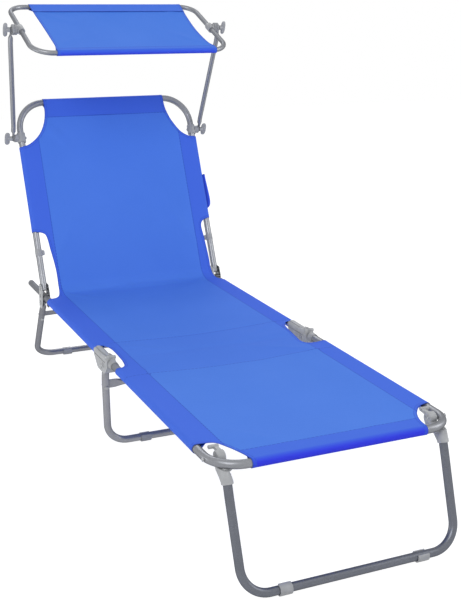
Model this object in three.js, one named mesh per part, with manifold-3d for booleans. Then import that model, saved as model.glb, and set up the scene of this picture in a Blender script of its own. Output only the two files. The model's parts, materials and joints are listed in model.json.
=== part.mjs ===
// A folding sun lounger with a canopy: tube frame in three hinged sections, three folding legs, cloth slings.
// Millimetres, +Z up, feet towards -Y, head towards +Y, symmetric about the plane x = 0 but for the pocket.
import * as THREE from 'three';
import { mergeVertices } from 'three/addons/utils/BufferGeometryUtils.js';
import Module from 'manifold-3d';

const wasm = await Module();
wasm.setup();

// Tubes
const overallWidth = 580;
const tubeRadius = 9.5;
const tubeWall = 1;
const slimRadius = 7;
const clearance = 0.3;

// Lengths of the three sections, measured from hinge to hinge
const footLength = 658.5;
const seatLength = 633.5;
const seatStub = 156.5;
const backLength = 576;
const footCornerRadius = 67.5;
const backCornerRadius = 85;
const sectionHeight = 265;

// Hinges of the sections
const footPinRise = 13;
const backPivotRise = 25.8;
const backAngle = THREE.MathUtils.degToRad(65.15);
const backTubeTail = 8;
const footTubeSetback = 17.3;
const seatTubeSetback = 12.3;

// Legs: where they hinge, where their bars stand, and how they are bent
const legPivotDrop = 22;
const midLegPivotY = 40;
const midLegBarY = 79;
const rearLegPivotY = 640;
const rearLegBarY = 828;
const legInset = 13.8;
const legBendRadius = 60;
const kneeBendRadius = 160;
const kneeSteps = 2;
const braceHeight = 182;
const frontLegPivot = 608;
const frontLegTopY = 655.5;
const frontLegTopZ = 225;
const frontLegBarY = 732;
const frontLegTopX = 256;
const frontLegBarX = 253;

// Flattened tube ends
const eyeThickness = 8;
const eyeRadius = 11;
const eyeFlatLength = 24;
const eyeBlendLength = 14;
const braceEndThickness = 4;
const braceEndHeight = 21;
const braceEndLength = 20;
const braceBlendLength = 26;
const braceEndReach = 9;
const armEndThickness = 4;
const armEndWidth = 17;
const armEndLength = 18;
const armBlendLength = 22;

// Plastic feet
const footWall = 3.2;
const footFlatDepth = 0.5;
const footWidth = 28;
const footX = 163;
const footMouth = THREE.MathUtils.degToRad(104);
const turnedFootMouthAngle = THREE.MathUtils.degToRad(20);

// Pins and rivets
const pinRadius = 4;
const pinHeadRadius = 7;
const pinHeadHeight = 2;
const rivetRadius = 3;
const rivetHeadRadius = 5.5;
const rivetHeadHeight = 1.6;

// Hinge shell on the seat tube and knuckle on the foot tube
const shellWall = 2.4;
const shellFront = 12;
const shellBack = 100;
const shellSkirtTop = 3;
const shellSkirtFoot = 39;
const shellSkirtHalfWidth = 14;
const shellCornerRadius = 9;
const pinEarRadius = 8;
const tongueHalfWidth = 4;
const tongueRadius = 7;
const knuckleWall = 2.2;
const knuckleBack = 14;
const knuckleFront = 34;
const knuckleCollarWidth = 6;
const knuckleCollarRise = 1.4;
const knuckleTabDepth = 5;
const knuckleTabWidth = 8;

// Pressed bracket of the rear hinge
const bracketSheet = 1.6;
const bracketPivotRadius = 12;
const bracketLegRadius = 15;
const bracketFront = 24.5;
const bracketBridgeLength = 11;

// Plugs in the rear tube ends
const plugFlange = 2.4;
const plugDepth = 14;
const plugDome = 1.2;

// Moulded heads of the front leg
const headSocketWall = 2.6;
const headSocketLow = 13;
const headSocketHigh = 15;
const headLobeRadius = 14;
const headThickness = 13;
const fingerLength = 34;
const fingerThickness = 6;
const fingerReach = 13;

// Small catches on the back tubes
const catchPlace = 107;
const catchLength = 34;
const catchWall = 1.5;
const catchTabReach = 8;
const catchTabThickness = 4;

// Canopy: arms, clamps, loop
const armPivotPlace = 467;
const armLength = 345;
const armAngle = THREE.MathUtils.degToRad(109.7);
const armLowX = 306;
const armHighX = 323;
const lowClampWall = 2.8;
const lowClampLength = 30;
const lowClampBossRadius = 12;
const lowClampScrewRadius = 4;
const lowClampScrewHeight = 3;
const loopX = 295.5;
const loopFront = 157.5;
const loopRear = 159;
const loopFrontCornerRadius = 58;
const loopRearCornerRadius = 48;
const loopAngle = THREE.MathUtils.degToRad(21.5);
const highClampWall = 3.4;
const highClampLength = 30;
const discRadius = 15;
const discGroove = 1.2;

// Wing knobs
const knobBoltRadius = 3;
const knobBoltDepth = 8;
const knobStemRadius = 7;
const knobStemLength = 8;
const knobWingSpan = 41;
const knobWingThickness = 8;
const knobWingDepth = 12;
const knobBowDepth = 15;

// Cloth
const clothGap = 0.6;
const clothThickness = 1;
const hemReach = 50;
const slimHemReach = 22;
const seatSag = 8;
const canopySag = 7;
const clothBreak = 3;
const frontSleeveHalfWidth = 205;
const footSleeveEnd = 561;
const midCutoutLeft = 257;
const midCutoutRight = 214;
const midCutoutBack = 104;
const midCutoutFront = 78;
const midCutoutRadius = 26;
const seatClothEnd = 612;
const rearCutoutStart = 566;
const rearCutoutX = 240;
const rearCutoutRadius = 16;
const backClothStart = 15;
const backSleeveStart = 167;
const backSleeveEnd = 433;
const backTopSleeveHalfWidth = 196;
const canopyClothHalfWidth = 240;
const canopyEdgeWaist = 20;

// Side pocket
const pocketStart = 204;
const pocketHeight = 113;
const pocketMouth = 15;
const pocketFloor = 8;
const pocketDepth = 96;
const pocketWall = 1.6;

// Counts
const tubeSides = 12;
const boreSides = 8;
const bendSteps = 5;
const pinSides = 8;
const arcSteps = 4;
const sheetSteps = 6;

// Places that follow from the sizes above
const sideX = overallWidth / 2 - tubeRadius;
const boreRadius = tubeRadius - tubeWall;
const cheekGap = tubeRadius + clearance + clearance;
const sleeveRadius = tubeRadius + clothGap;
const barHeight = tubeRadius + clearance + footWall - footFlatDepth;
const legPivotZ = sectionHeight - legPivotDrop;
const kneeDepth = eyeFlatLength + eyeBlendLength;

// Holes are drawn round their polygons, so that a round piece clears their flats at any turn
const tubeBore = (tubeRadius + clearance) / Math.cos(Math.PI / tubeSides);
const slimBore = (slimRadius + clearance) / Math.cos(Math.PI / tubeSides);
const pinHole = (pinRadius + clearance) / Math.cos(Math.PI / pinSides);
const rivetHole = (rivetRadius + clearance) / Math.cos(Math.PI / pinSides);
const boltHole = (knobBoltRadius + clearance) / Math.cos(Math.PI / pinSides);

const materials = {
  frame: paint('#8f9194', 0.42, 0.55),
  leg: paint('#74767a', 0.45, 0.5),
  plastic: paint('#b4b7b9', 0.55, 0),
  steel: paint('#c2c4c6', 0.3, 0.9),
  cloth: paint('#4a75d9', 0.85, 0),
  canopy: paint('#4568dd', 0.85, 0),
};

function paint(color, roughness, metalness) {
  return new THREE.MeshStandardMaterial({ color, roughness, metalness });
}

// From a plain geometry to a closed body that can be cut and joined, and back
function solid(geometry) {
  const bare = geometry.clone();
  bare.deleteAttribute('normal');
  bare.deleteAttribute('uv');
  const welded = mergeVertices(bare);
  return new wasm.Manifold(new wasm.Mesh({
    numProp: 3,
    vertProperties: Float32Array.from(welded.attributes.position.array),
    triVerts: Uint32Array.from(welded.index.array),
  }));
}

function geometryOf(body) {
  const mesh = body.getMesh();
  const geometry = new THREE.BufferGeometry();
  geometry.setAttribute('position', new THREE.BufferAttribute(mesh.vertProperties, mesh.numProp));
  geometry.setIndex(new THREE.BufferAttribute(mesh.triVerts, 1));
  geometry.computeVertexNormals();
  return geometry;
}

function joined(...geometries) {
  return geometries.map(solid).reduce((whole, next) => whole.add(next));
}

function cut(body, ...geometries) {
  return geometries.map(solid).reduce((whole, next) => whole.subtract(next), body);
}

function mirrored(geometry) {
  const twin = geometry.clone().scale(-1, 1, 1);
  const order = twin.index.array;
  for (let i = 0; i < order.length; i += 3) {
    const first = order[i];
    order[i] = order[i + 1];
    order[i + 1] = first;
  }
  twin.computeVertexNormals();
  return twin;
}

// Prisms: a shape in the plane across one axis, drawn out along that axis from one place to another
const axisX = new THREE.Vector3(1, 0, 0);
const axisY = new THREE.Vector3(0, 1, 0);
const axisZ = new THREE.Vector3(0, 0, 1);

function prism(shape, from, to, curveSegments = arcSteps) {
  const geometry = new THREE.ExtrudeGeometry(shape, { depth: to - from, bevelEnabled: false, curveSegments });
  return geometry.translate(0, 0, from);
}

function prismX(shape, from, to, curveSegments) {
  const turn = new THREE.Matrix4().makeBasis(axisY, axisZ, axisX);
  return prism(shape, from, to, curveSegments).applyMatrix4(turn);
}

function prismY(shape, from, to, curveSegments) {
  const turn = new THREE.Matrix4().makeBasis(axisX, axisZ, axisY.clone().negate());
  return prism(shape, -to, -from, curveSegments).applyMatrix4(turn);
}

function rodX(radius, from, to, y = 0, z = 0, sides = pinSides) {
  const geometry = new THREE.CylinderGeometry(radius, radius, to - from, sides);
  return geometry.rotateZ(-Math.PI / 2).translate((from + to) / 2, y, z);
}

function rodY(radius, from, to, x = 0, z = 0, sides = pinSides) {
  const geometry = new THREE.CylinderGeometry(radius, radius, to - from, sides);
  return geometry.translate(x, (from + to) / 2, z);
}

function block(x0, x1, y0, y1, z0, z1) {
  const geometry = new THREE.BoxGeometry(x1 - x0, y1 - y0, z1 - z0);
  return geometry.translate((x0 + x1) / 2, (y0 + y1) / 2, (z0 + z1) / 2);
}

function disc(radius, x = 0, y = 0) {
  return new THREE.Shape().absarc(x, y, radius, 0, 2 * Math.PI);
}

// A polygon with its corners rounded by the given radii
function roundedOutline(corners) {
  const shape = new THREE.Shape();
  corners.forEach(([x, y, radius], i) => {
    const here = new THREE.Vector2(x, y);
    const [px, py] = corners[(i + corners.length - 1) % corners.length];
    const [nx, ny] = corners[(i + 1) % corners.length];
    const back = new THREE.Vector2(px, py).sub(here).setLength(radius).add(here);
    const ahead = new THREE.Vector2(nx, ny).sub(here).setLength(radius).add(here);
    if (i === 0) shape.moveTo(back.x, back.y);
    else shape.lineTo(back.x, back.y);
    if (radius > 0) shape.quadraticCurveTo(here.x, here.y, ahead.x, ahead.y);
  });
  shape.closePath();
  return shape;
}

// A path of straight runs and round bends, with stations only where the tube needs a ring
class BentPath extends THREE.Curve {
  constructor(corners) {
    super();
    this.stations = [];
    const points = corners.map(([x, y, z]) => new THREE.Vector3(x, y, z));
    const last = points.length - 1;
    points.forEach((point, i) => {
      const into = points[Math.max(i, 1)].clone().sub(points[Math.max(i, 1) - 1]).normalize();
      const out = points[Math.min(i, last - 1) + 1].clone().sub(points[Math.min(i, last - 1)]).normalize();
      const radius = corners[i][3] ?? 0;
      const steps = corners[i][4] ?? bendSteps;
      if (i === 0 || i === last || radius === 0) {
        this.stations.push({ point, tangent: i === 0 ? out : into });
        return;
      }
      const turn = into.angleTo(out);
      const start = point.clone().addScaledVector(into, -radius * Math.tan(turn / 2));
      const inward = out.clone().addScaledVector(into, -Math.cos(turn)).normalize();
      const middle = start.clone().addScaledVector(inward, radius);
      for (let k = 0; k <= steps; k += 1) {
        const angle = (turn * k) / steps;
        const place = middle.clone()
          .addScaledVector(inward, -radius * Math.cos(angle))
          .addScaledVector(into, radius * Math.sin(angle));
        const tangent = into.clone().multiplyScalar(Math.cos(angle)).addScaledVector(inward, Math.sin(angle));
        this.stations.push({ point: place, tangent });
      }
    });
  }

  getUtoTmapping(share) {
    return share;
  }

  station(share) {
    return this.stations[Math.round(share * (this.stations.length - 1))];
  }

  getPoint(share, target = new THREE.Vector3()) {
    return target.copy(this.station(share).point);
  }

  getTangent(share, target = new THREE.Vector3()) {
    return target.copy(this.station(share).tangent);
  }
}

// The section of a tube: a round wall, with a plainer bore where it is open at its ends
function tubeSection(radius, bore) {
  const section = disc(radius);
  if (bore > 0) {
    const points = [];
    for (let k = 0; k < boreSides; k += 1) {
      const angle = (-2 * Math.PI * k) / boreSides;
      points.push(new THREE.Vector2(bore * Math.cos(angle), bore * Math.sin(angle)));
    }
    section.holes.push(new THREE.Path(points));
  }
  return section;
}

function tube(corners, radius, bore = 0) {
  const path = new BentPath(corners);
  return new THREE.ExtrudeGeometry(tubeSection(radius, bore), {
    extrudePath: path,
    steps: path.stations.length - 1,
    curveSegments: tubeSides / 2,
    bevelEnabled: false,
  });
}

// Presses the end of a tube flat: thin along one axis, wide along the other, fading back to round
function flattenEnd(geometry, end, along, thin, sizes) {
  const { radius, thickness, width, flat, blend } = sizes;
  const wide = along.clone().cross(thin);
  const place = geometry.attributes.position;
  const point = new THREE.Vector3();
  for (let i = 0; i < place.count; i += 1) {
    point.fromBufferAttribute(place, i).sub(end);
    const depth = point.dot(along);
    const across = point.dot(thin);
    const sideways = point.dot(wide);
    if (depth < flat + blend && Math.hypot(across, sideways) < 2 * radius) {
      const share = 1 - THREE.MathUtils.smoothstep(depth, flat, flat + blend);
      const thinner = THREE.MathUtils.lerp(1, thickness / 2 / radius, share);
      const wider = THREE.MathUtils.lerp(1, width / 2 / radius, share);
      point.addScaledVector(thin, across * (thinner - 1)).addScaledVector(wide, sideways * (wider - 1));
      point.add(end);
      place.setXYZ(i, point.x, point.y, point.z);
    }
  }
  return geometry;
}

const lounger = new THREE.Group();

function addMesh(group, name, body, material) {
  const geometry = body.isBufferGeometry ? body : geometryOf(body);
  const mesh = new THREE.Mesh(geometry, material);
  mesh.name = name;
  group.add(mesh);
  return mesh;
}

// The right-hand piece is built at +x; the left-hand one is its mirror image
function addPair(group, name, body, material) {
  const right = geometryOf(body);
  addMesh(group, `${name}_right`, right, material);
  addMesh(group, `${name}_left`, mirrored(right), material);
}

// A pin or rivet along x: a shank through what it holds, with a head on each side
function pin(from, to, y, z, radius, headRadius, headHeight) {
  return joined(
    rodX(radius, from - headHeight, to + headHeight, y, z),
    rodX(headRadius, from - headHeight, from, y, z),
    rodX(headRadius, to, to + headHeight, y, z),
  );
}

// Cloth sleeve round a tube that runs along y at the origin, with its hem towards -x and the sheet on top
function sleeveSection(bore, reach) {
  const outer = bore + clothThickness;
  const hem = new THREE.Vector2(-reach, bore);
  const inner = new THREE.Vector2(-reach + clothThickness, bore);
  const tangentAngle = (point, radius) => point.angle() + Math.acos(radius / point.length());
  const turn = tangentAngle(hem, outer);
  const turnInside = tangentAngle(inner, bore);
  const shape = new THREE.Shape();
  shape.moveTo(-reach, outer);
  shape.lineTo(-reach, bore);
  shape.lineTo(outer * Math.cos(turn), outer * Math.sin(turn));
  shape.absarc(0, 0, outer, turn, 2.5 * Math.PI, false);
  shape.closePath();
  const hollow = new THREE.Path();
  hollow.moveTo(inner.x, inner.y);
  hollow.lineTo(bore * Math.cos(turnInside), bore * Math.sin(turnInside));
  hollow.absarc(0, 0, bore, turnInside, 2.5 * Math.PI, false);
  hollow.closePath();
  shape.holes.push(hollow);
  return shape;
}

function sleeve(bore, reach, length, turn, x, y) {
  const body = prismY(sleeveSection(bore, reach), -length / 2, length / 2);
  return body.rotateZ(turn).translate(x, y, 0);
}

// Splits the squares of a sheet's top along the same diagonals as those below, so that slack keeps the
// two faces one thickness apart: each square is stored as two triangles, a b d and b c d
function splitTopAsBelow(body, top) {
  const place = body.attributes.position;
  const start = body.groups[1].start;
  const corner = (i) => new THREE.Vector3().fromBufferAttribute(place, i);
  for (let i = start; i < place.count; i += 6) {
    const [a, c] = [corner(i), corner(i + 4)];
    const onTop = [a, c].every((point) => Math.abs(point.z - top) < clothThickness / 2);
    if (onTop) {
      place.setXYZ(i + 2, c.x, c.y, c.z);
      place.setXYZ(i + 3, a.x, a.y, a.z);
    }
  }
}

// The sheet between two side sleeves, on top of the tubes, with a little slack between its hems
function sheet(halfWidth, hem, bore, sag, from, to, slackFrom, slackTo) {
  const outer = bore + clothThickness;
  const across = [-halfWidth, -hem, -hem / 2, 0, hem / 2, hem, halfWidth];
  const shape = new THREE.Shape([
    ...across.map((x) => new THREE.Vector2(x, bore)),
    ...across.map((x) => new THREE.Vector2(-x, outer)),
  ]);
  const options = { depth: to - from, steps: sheetSteps, bevelEnabled: false };
  const body = new THREE.ExtrudeGeometry(shape, options).translate(0, 0, -to);
  body.applyMatrix4(new THREE.Matrix4().makeBasis(axisX, axisZ, axisY.clone().negate()));
  const place = body.attributes.position;
  splitTopAsBelow(body, outer);
  for (let i = 0; i < place.count; i += 1) {
    const along = THREE.MathUtils.clamp((place.getY(i) - slackFrom) / (slackTo - slackFrom), 0, 1);
    const aside = Math.min(1, Math.abs(place.getX(i)) / hem);
    place.setZ(i, place.getZ(i) - sag * Math.sin(Math.PI * along) * (1 - aside ** 2));
  }
  return body;
}

// A bite out of the edge of a cloth, on the side given by the sign, with rounded inner corners
function bite(sign, inner, radius, from, to) {
  const outside = overallWidth;
  const shape = roundedOutline([
    [outside, from, 0],
    [outside, to, 0],
    [inner, to, radius],
    [inner, from, radius],
  ]);
  const body = prism(shape, -outside / 4, outside / 4);
  return sign > 0 ? body : mirrored(mergeVertices(body));
}

// Seat section: two side tubes with plugs in their rear ends, hinge shells in front, pressed brackets behind
const seat = new THREE.Group();
lounger.add(seat);

const seatTubeEnd = seatLength + seatStub;
const backPivotZ = sectionHeight + backPivotRise;

function seatTube() {
  const corners = [[sideX, seatTubeSetback, sectionHeight], [sideX, seatTubeEnd, sectionHeight]];
  const body = solid(tube(corners, tubeRadius, boreRadius));
  const through = [sideX - 2 * tubeRadius, sideX + 2 * tubeRadius];
  return cut(body, rodX(rivetHole, ...through, rearLegPivotY, sectionHeight));
}

function tubePlug() {
  const spigot = boreRadius * Math.cos(Math.PI / boreSides) - clearance;
  const profile = [
    [0, -plugDepth],
    [spigot, -plugDepth],
    [spigot, 0],
    [tubeRadius, 0],
    [tubeRadius, plugFlange],
    [spigot, plugFlange + plugDome],
    [0, plugFlange + plugDome],
  ].map(([radius, y]) => new THREE.Vector2(radius, y));
  const body = new THREE.LatheGeometry(profile, tubeSides);
  return solid(body.translate(sideX, seatTubeEnd + clearance, sectionHeight));
}

// A channel that hugs the top half of a tube and hangs down past its sides
function channelShape(radius, drop) {
  const shape = new THREE.Shape();
  shape.moveTo(sideX - radius, sectionHeight - drop);
  shape.lineTo(sideX + radius, sectionHeight - drop);
  shape.lineTo(sideX + radius, sectionHeight);
  shape.absarc(sideX, sectionHeight, radius, 0, Math.PI, false);
  shape.closePath();
  return shape;
}

const shellRadius = cheekGap + shellWall;
const pinZ = sectionHeight + footPinRise;

function hingeShell() {
  const low = sectionHeight - shellSkirtFoot;
  const high = sectionHeight + 2 * shellRadius;
  const side = roundedOutline([
    [-shellFront, high, 0],
    [-shellFront, sectionHeight - shellRadius, shellCornerRadius / 2],
    [midLegPivotY - shellSkirtHalfWidth, low, shellCornerRadius],
    [midLegPivotY + shellSkirtHalfWidth, low, shellCornerRadius],
    [shellBack, sectionHeight - shellSkirtTop, shellCornerRadius],
    [shellBack, high, 0],
  ]);
  const channel = prismY(channelShape(shellRadius, 2 * shellSkirtFoot), -2 * shellFront, 2 * shellBack);
  const hollow = prismY(channelShape(cheekGap, 3 * shellSkirtFoot), shellFront, 3 * shellBack);
  const across = [sideX - shellRadius, sideX + shellRadius];
  const through = [sideX - 2 * shellRadius, sideX + 2 * shellRadius];
  const ear = rodX(pinEarRadius, ...across, 0, pinZ, tubeSides);
  const neck = block(...across, -pinEarRadius, pinEarRadius, sectionHeight, pinZ);
  const skirts = solid(channel).intersect(solid(prismX(side, ...through)));
  const body = skirts.add(solid(ear)).add(solid(neck));
  const slotHalf = tongueHalfWidth + clearance;
  const slotRadius = tongueRadius + clearance;
  const slot = [sideX - slotHalf, sideX + slotHalf];
  return cut(
    body,
    hollow,
    rodX(slotRadius, ...slot, 0, pinZ, tubeSides),
    block(...slot, -2 * shellFront, 0, pinZ - slotRadius, pinZ),
    block(...slot, -2 * shellFront, 2 * pinEarRadius, pinZ - clearance, pinZ + 2 * pinEarRadius),
    rodX(pinHole, ...through, 0, pinZ),
    rodX(pinHole, ...through, midLegPivotY, legPivotZ),
  );
}

const bracketRadius = cheekGap + bracketSheet;

function rearBracket() {
  const front = seatLength - bracketFront;
  const shoulder = sectionHeight - tubeRadius / 3;
  const side = roundedOutline([
    [seatLength - bracketPivotRadius, backPivotZ + bracketPivotRadius, 0.8 * bracketPivotRadius],
    [front, sectionHeight + tubeRadius + 2 * bracketSheet, bracketSheet],
    [front, shoulder, 2 * bracketSheet],
    [rearLegPivotY - bracketLegRadius, legPivotZ - bracketLegRadius, 0.7 * bracketLegRadius],
    [rearLegPivotY + bracketPivotRadius, legPivotZ - bracketLegRadius, 0.7 * bracketLegRadius],
    [rearLegPivotY + bracketPivotRadius, shoulder, 2 * bracketSheet],
    [seatLength + bracketPivotRadius, backPivotZ + bracketPivotRadius, 0.8 * bracketPivotRadius],
  ]);
  const bridgeZ = sectionHeight + tubeRadius + clearance;
  const across = [sideX - bracketRadius, sideX + bracketRadius];
  const through = [sideX - 2 * bracketRadius, sideX + 2 * bracketRadius];
  const body = joined(
    prismX(side, sideX - bracketRadius, sideX - cheekGap),
    prismX(side, sideX + cheekGap, sideX + bracketRadius),
    block(...across, front, front + bracketBridgeLength, bridgeZ, bridgeZ + bracketSheet),
  );
  return cut(
    body,
    rodX(pinHole, ...through, seatLength, backPivotZ),
    rodX(pinHole, ...through, rearLegPivotY, legPivotZ),
    rodX(rivetHole, ...through, rearLegPivotY, sectionHeight),
  );
}

function crossPin(halfWidth, y, z) {
  const half = halfWidth + clearance;
  return pin(sideX - half, sideX + half, y, z, pinRadius, pinHeadRadius, pinHeadHeight);
}

function bracketRivet() {
  const half = bracketRadius + clearance;
  const sizes = [rivetRadius, rivetHeadRadius, rivetHeadHeight];
  return pin(sideX - half, sideX + half, rearLegPivotY, sectionHeight, ...sizes);
}

addPair(seat, 'seat_tube', seatTube(), materials.frame);
addPair(seat, 'seat_tube_plug', tubePlug(), materials.plastic);
addPair(seat, 'mid_hinge_shell', hingeShell(), materials.plastic);
addPair(seat, 'mid_hinge_pin', crossPin(shellRadius, 0, pinZ), materials.steel);
addPair(seat, 'mid_leg_pin', crossPin(shellRadius, midLegPivotY, legPivotZ), materials.steel);
addPair(seat, 'rear_hinge_bracket', rearBracket(), materials.steel);
addPair(seat, 'back_pivot_pin', crossPin(bracketRadius, seatLength, backPivotZ), materials.steel);
addPair(seat, 'rear_leg_pin', crossPin(bracketRadius, rearLegPivotY, legPivotZ), materials.steel);
addPair(seat, 'bracket_rivet', bracketRivet(), materials.steel);

// Seat cloth: sleeves round the side tubes between the two hinges, cut away over the hinges
const sideHem = sideX - hemReach;

function seatSling() {
  const ends = [clothBreak, seatClothEnd];
  const sleeveLength = rearCutoutStart - midCutoutBack;
  const sleeveY = (rearCutoutStart + midCutoutBack) / 2;
  const cloth = joined(
    sheet(sideX, sideHem, sleeveRadius, seatSag, ...ends, ...ends),
    sleeve(sleeveRadius, hemReach, sleeveLength, 0, sideX, sleeveY),
    sleeve(sleeveRadius, hemReach, sleeveLength, Math.PI, -sideX, sleeveY),
  );
  return cut(
    cloth,
    bite(1, midCutoutRight, midCutoutRadius, -midCutoutFront, midCutoutBack),
    bite(-1, midCutoutLeft, midCutoutRadius / 2, -midCutoutFront, midCutoutBack),
    bite(1, rearCutoutX, rearCutoutRadius, rearCutoutStart, seatClothEnd + hemReach),
    bite(-1, rearCutoutX, rearCutoutRadius, rearCutoutStart, seatClothEnd + hemReach),
  );
}
addMesh(seat, 'seat_sling', seatSling().translate([0, 0, sectionHeight]), materials.cloth);

// Legs that hinge under the side tubes: each is built upright below its pivots, then leans with its group
function legLean(pivotY, barY) {
  return Math.atan2(barY - pivotY, legPivotZ - barHeight);
}

function legLength(pivotY, barY) {
  return Math.hypot(barY - pivotY, legPivotZ - barHeight);
}

function braceDepth(lean) {
  return (legPivotZ - braceHeight) / Math.cos(lean);
}

function postX(depth, length) {
  return sideX - (legInset * (depth - kneeDepth)) / (length - kneeDepth);
}

const eye = {
  radius: tubeRadius,
  thickness: eyeThickness,
  width: 2 * eyeRadius,
  flat: eyeFlatLength,
  blend: eyeBlendLength,
};
const down = axisZ.clone().negate();

function uLeg(length, rivetDepth) {
  const barX = sideX - legInset;
  const corners = [
    [sideX, 0, 0],
    [sideX, 0, -eyeFlatLength],
    [sideX, 0, -kneeDepth, kneeBendRadius, kneeSteps],
    [barX, 0, -length, legBendRadius],
    [-barX, 0, -length, legBendRadius],
    [-sideX, 0, -kneeDepth, kneeBendRadius, kneeSteps],
    [-sideX, 0, -eyeFlatLength],
    [-sideX, 0, 0],
  ];
  const bent = tube(corners, tubeRadius);
  flattenEnd(bent, new THREE.Vector3(sideX, 0, 0), down, axisX, eye);
  flattenEnd(bent, new THREE.Vector3(-sideX, 0, 0), down, axisX, eye);
  let body = solid(bent);
  for (const side of [1, -1]) {
    const [from, to] = [side * sideX - eyeThickness / 2, side * sideX + eyeThickness / 2];
    const rivetX = side * postX(rivetDepth, length);
    body = body.add(solid(rodX(eyeRadius, from, to, 0, 0, tubeSides)));
    body = cut(
      body,
      rodX(pinHole, from - eyeThickness, to + eyeThickness),
      rodY(rivetHole, -2 * tubeRadius, 2 * tubeRadius, rivetX, -rivetDepth),
    );
  }
  return body;
}

const braceY = tubeRadius + clearance + braceEndThickness / 2;

function brace(length, depth) {
  const rivetX = postX(depth, length);
  const end = rivetX + braceEndReach;
  const flat = braceEndLength + braceEndReach;
  const blend = braceBlendLength;
  const sizes = { radius: slimRadius, thickness: braceEndThickness, width: braceEndHeight, flat, blend };
  const stations = [end, end - flat, end - flat - blend / 2, end - flat - blend];
  const places = [...stations, ...stations.map((x) => -x).reverse()];
  const bar = tube(places.map((x) => [x, braceY, -depth]), slimRadius);
  flattenEnd(bar, new THREE.Vector3(end, braceY, -depth), axisX.clone().negate(), axisY, sizes);
  flattenEnd(bar, new THREE.Vector3(-end, braceY, -depth), axisX, axisY, sizes);
  return cut(
    solid(bar),
    rodY(rivetHole, 0, 2 * braceY, rivetX, -depth),
    rodY(rivetHole, 0, 2 * braceY, -rivetX, -depth),
  );
}

function braceRivet(length, depth) {
  const x = postX(depth, length);
  const front = -tubeRadius - clearance;
  const back = braceY + braceEndThickness / 2 + clearance;
  return joined(
    rodY(rivetRadius, front - rivetHeadHeight, back + rivetHeadHeight, x, -depth),
    rodY(rivetHeadRadius, front - rivetHeadHeight, front, x, -depth),
    rodY(rivetHeadRadius, back, back + rivetHeadHeight, x, -depth),
  );
}

// A plastic foot that snaps on the bar of a leg: a C cut flat where it stands
function legFoot(mouthAngle) {
  const inner = tubeRadius + clearance;
  const outer = inner + footWall;
  const start = mouthAngle + footMouth / 2;
  const end = mouthAngle - footMouth / 2 + 2 * Math.PI;
  const shape = new THREE.Shape();
  shape.absarc(0, 0, outer, start, end, false);
  shape.absarc(0, 0, inner, end, start, true);
  shape.closePath();
  const body = solid(prismX(shape, -footWidth / 2, footWidth / 2, 2 * arcSteps));
  return cut(body, block(-footWidth, footWidth, -2 * outer, 2 * outer, -2 * outer, -barHeight));
}

function addFeet(group, name, length, lean, y, leftMouthAngle = Math.PI / 2) {
  for (const [side, word] of [[1, 'right'], [-1, 'left']]) {
    const mouthAngle = side > 0 ? Math.PI / 2 : leftMouthAngle;
    const foot = addMesh(group, `${name}_foot_${word}`, legFoot(mouthAngle), materials.plastic);
    foot.position.set(side * footX, y, -length);
    foot.rotation.x = -lean;
  }
}

function addLeg(name, pivotY, barY) {
  const lean = legLean(pivotY, barY);
  const length = legLength(pivotY, barY);
  const depth = braceDepth(lean);
  const group = new THREE.Group();
  group.name = name;
  group.position.set(0, pivotY, legPivotZ);
  group.rotation.x = lean;
  addMesh(group, `${name}_leg`, uLeg(length, depth), materials.leg);
  addMesh(group, `${name}_brace`, brace(length, depth), materials.leg);
  addPair(group, `${name}_brace_rivet`, braceRivet(length, depth), materials.steel);
  addFeet(group, name, length, lean, 0);
  seat.add(group);
}
addLeg('mid', midLegPivotY, midLegBarY);
addLeg('rear', rearLegPivotY, rearLegBarY);

// Foot section: everything is placed from the hinge pin, with the tubes below it
const foot = new THREE.Group();
foot.name = 'foot';
foot.position.set(0, 0, pinZ);
seat.add(foot);

function footFrame() {
  const corners = [
    [sideX, -footTubeSetback, -footPinRise],
    [sideX, -footLength, -footPinRise, footCornerRadius],
    [-sideX, -footLength, -footPinRise, footCornerRadius],
    [-sideX, -footTubeSetback, -footPinRise],
  ];
  const body = solid(tube(corners, tubeRadius, boreRadius));
  return cut(
    body,
    rodX(pinHole, sideX - 2 * tubeRadius, sideX + tubeRadius, -frontLegPivot, -footPinRise),
    rodX(pinHole, -sideX - tubeRadius, -sideX + 2 * tubeRadius, -frontLegPivot, -footPinRise),
  );
}

function hingeKnuckle() {
  const bore = tubeBore;
  const outer = bore + knuckleWall;
  const tongue = [sideX - tongueHalfWidth, sideX + tongueHalfWidth];
  const collar = [-knuckleFront, -knuckleFront + knuckleCollarWidth];
  const tab = [-knuckleBack - knuckleTabWidth, -knuckleBack];
  const bottom = -footPinRise - outer;
  const body = joined(
    rodY(outer, -knuckleFront, -knuckleBack, sideX, -footPinRise, tubeSides),
    rodY(outer + knuckleCollarRise, ...collar, sideX, -footPinRise, tubeSides),
    rodX(tongueRadius, ...tongue, 0, 0, tubeSides),
    block(...tongue, -knuckleBack - knuckleWall, 0, -tongueRadius, 0),
    block(...tongue, ...tab, bottom - knuckleTabDepth, bottom + knuckleWall),
  );
  return cut(
    body,
    rodY(bore, -2 * knuckleFront, -footTubeSetback + clearance, sideX, -footPinRise, tubeSides),
    rodX(pinHole, sideX - 2 * tongueHalfWidth, sideX + 2 * tongueHalfWidth),
  );
}

// Where the inner side of the foot frame lies, also round its front corners, which bend in short straights
function frameInsideX(y) {
  const into = Math.max(0, y - (footLength - footCornerRadius));
  const radius = footCornerRadius - tubeRadius;
  const facet = radius * (1 - Math.cos(Math.PI / 4 / bendSteps));
  return sideX - footCornerRadius + Math.sqrt(radius ** 2 - into ** 2) - facet;
}

const headOuterX = frameInsideX(frontLegPivot + headLobeRadius) - clearance;
const headInnerX = headOuterX - headThickness;
const headBossRadius = 0.6 * headLobeRadius;
const headBossX = frameInsideX(frontLegPivot + headBossRadius) - clearance;

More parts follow.
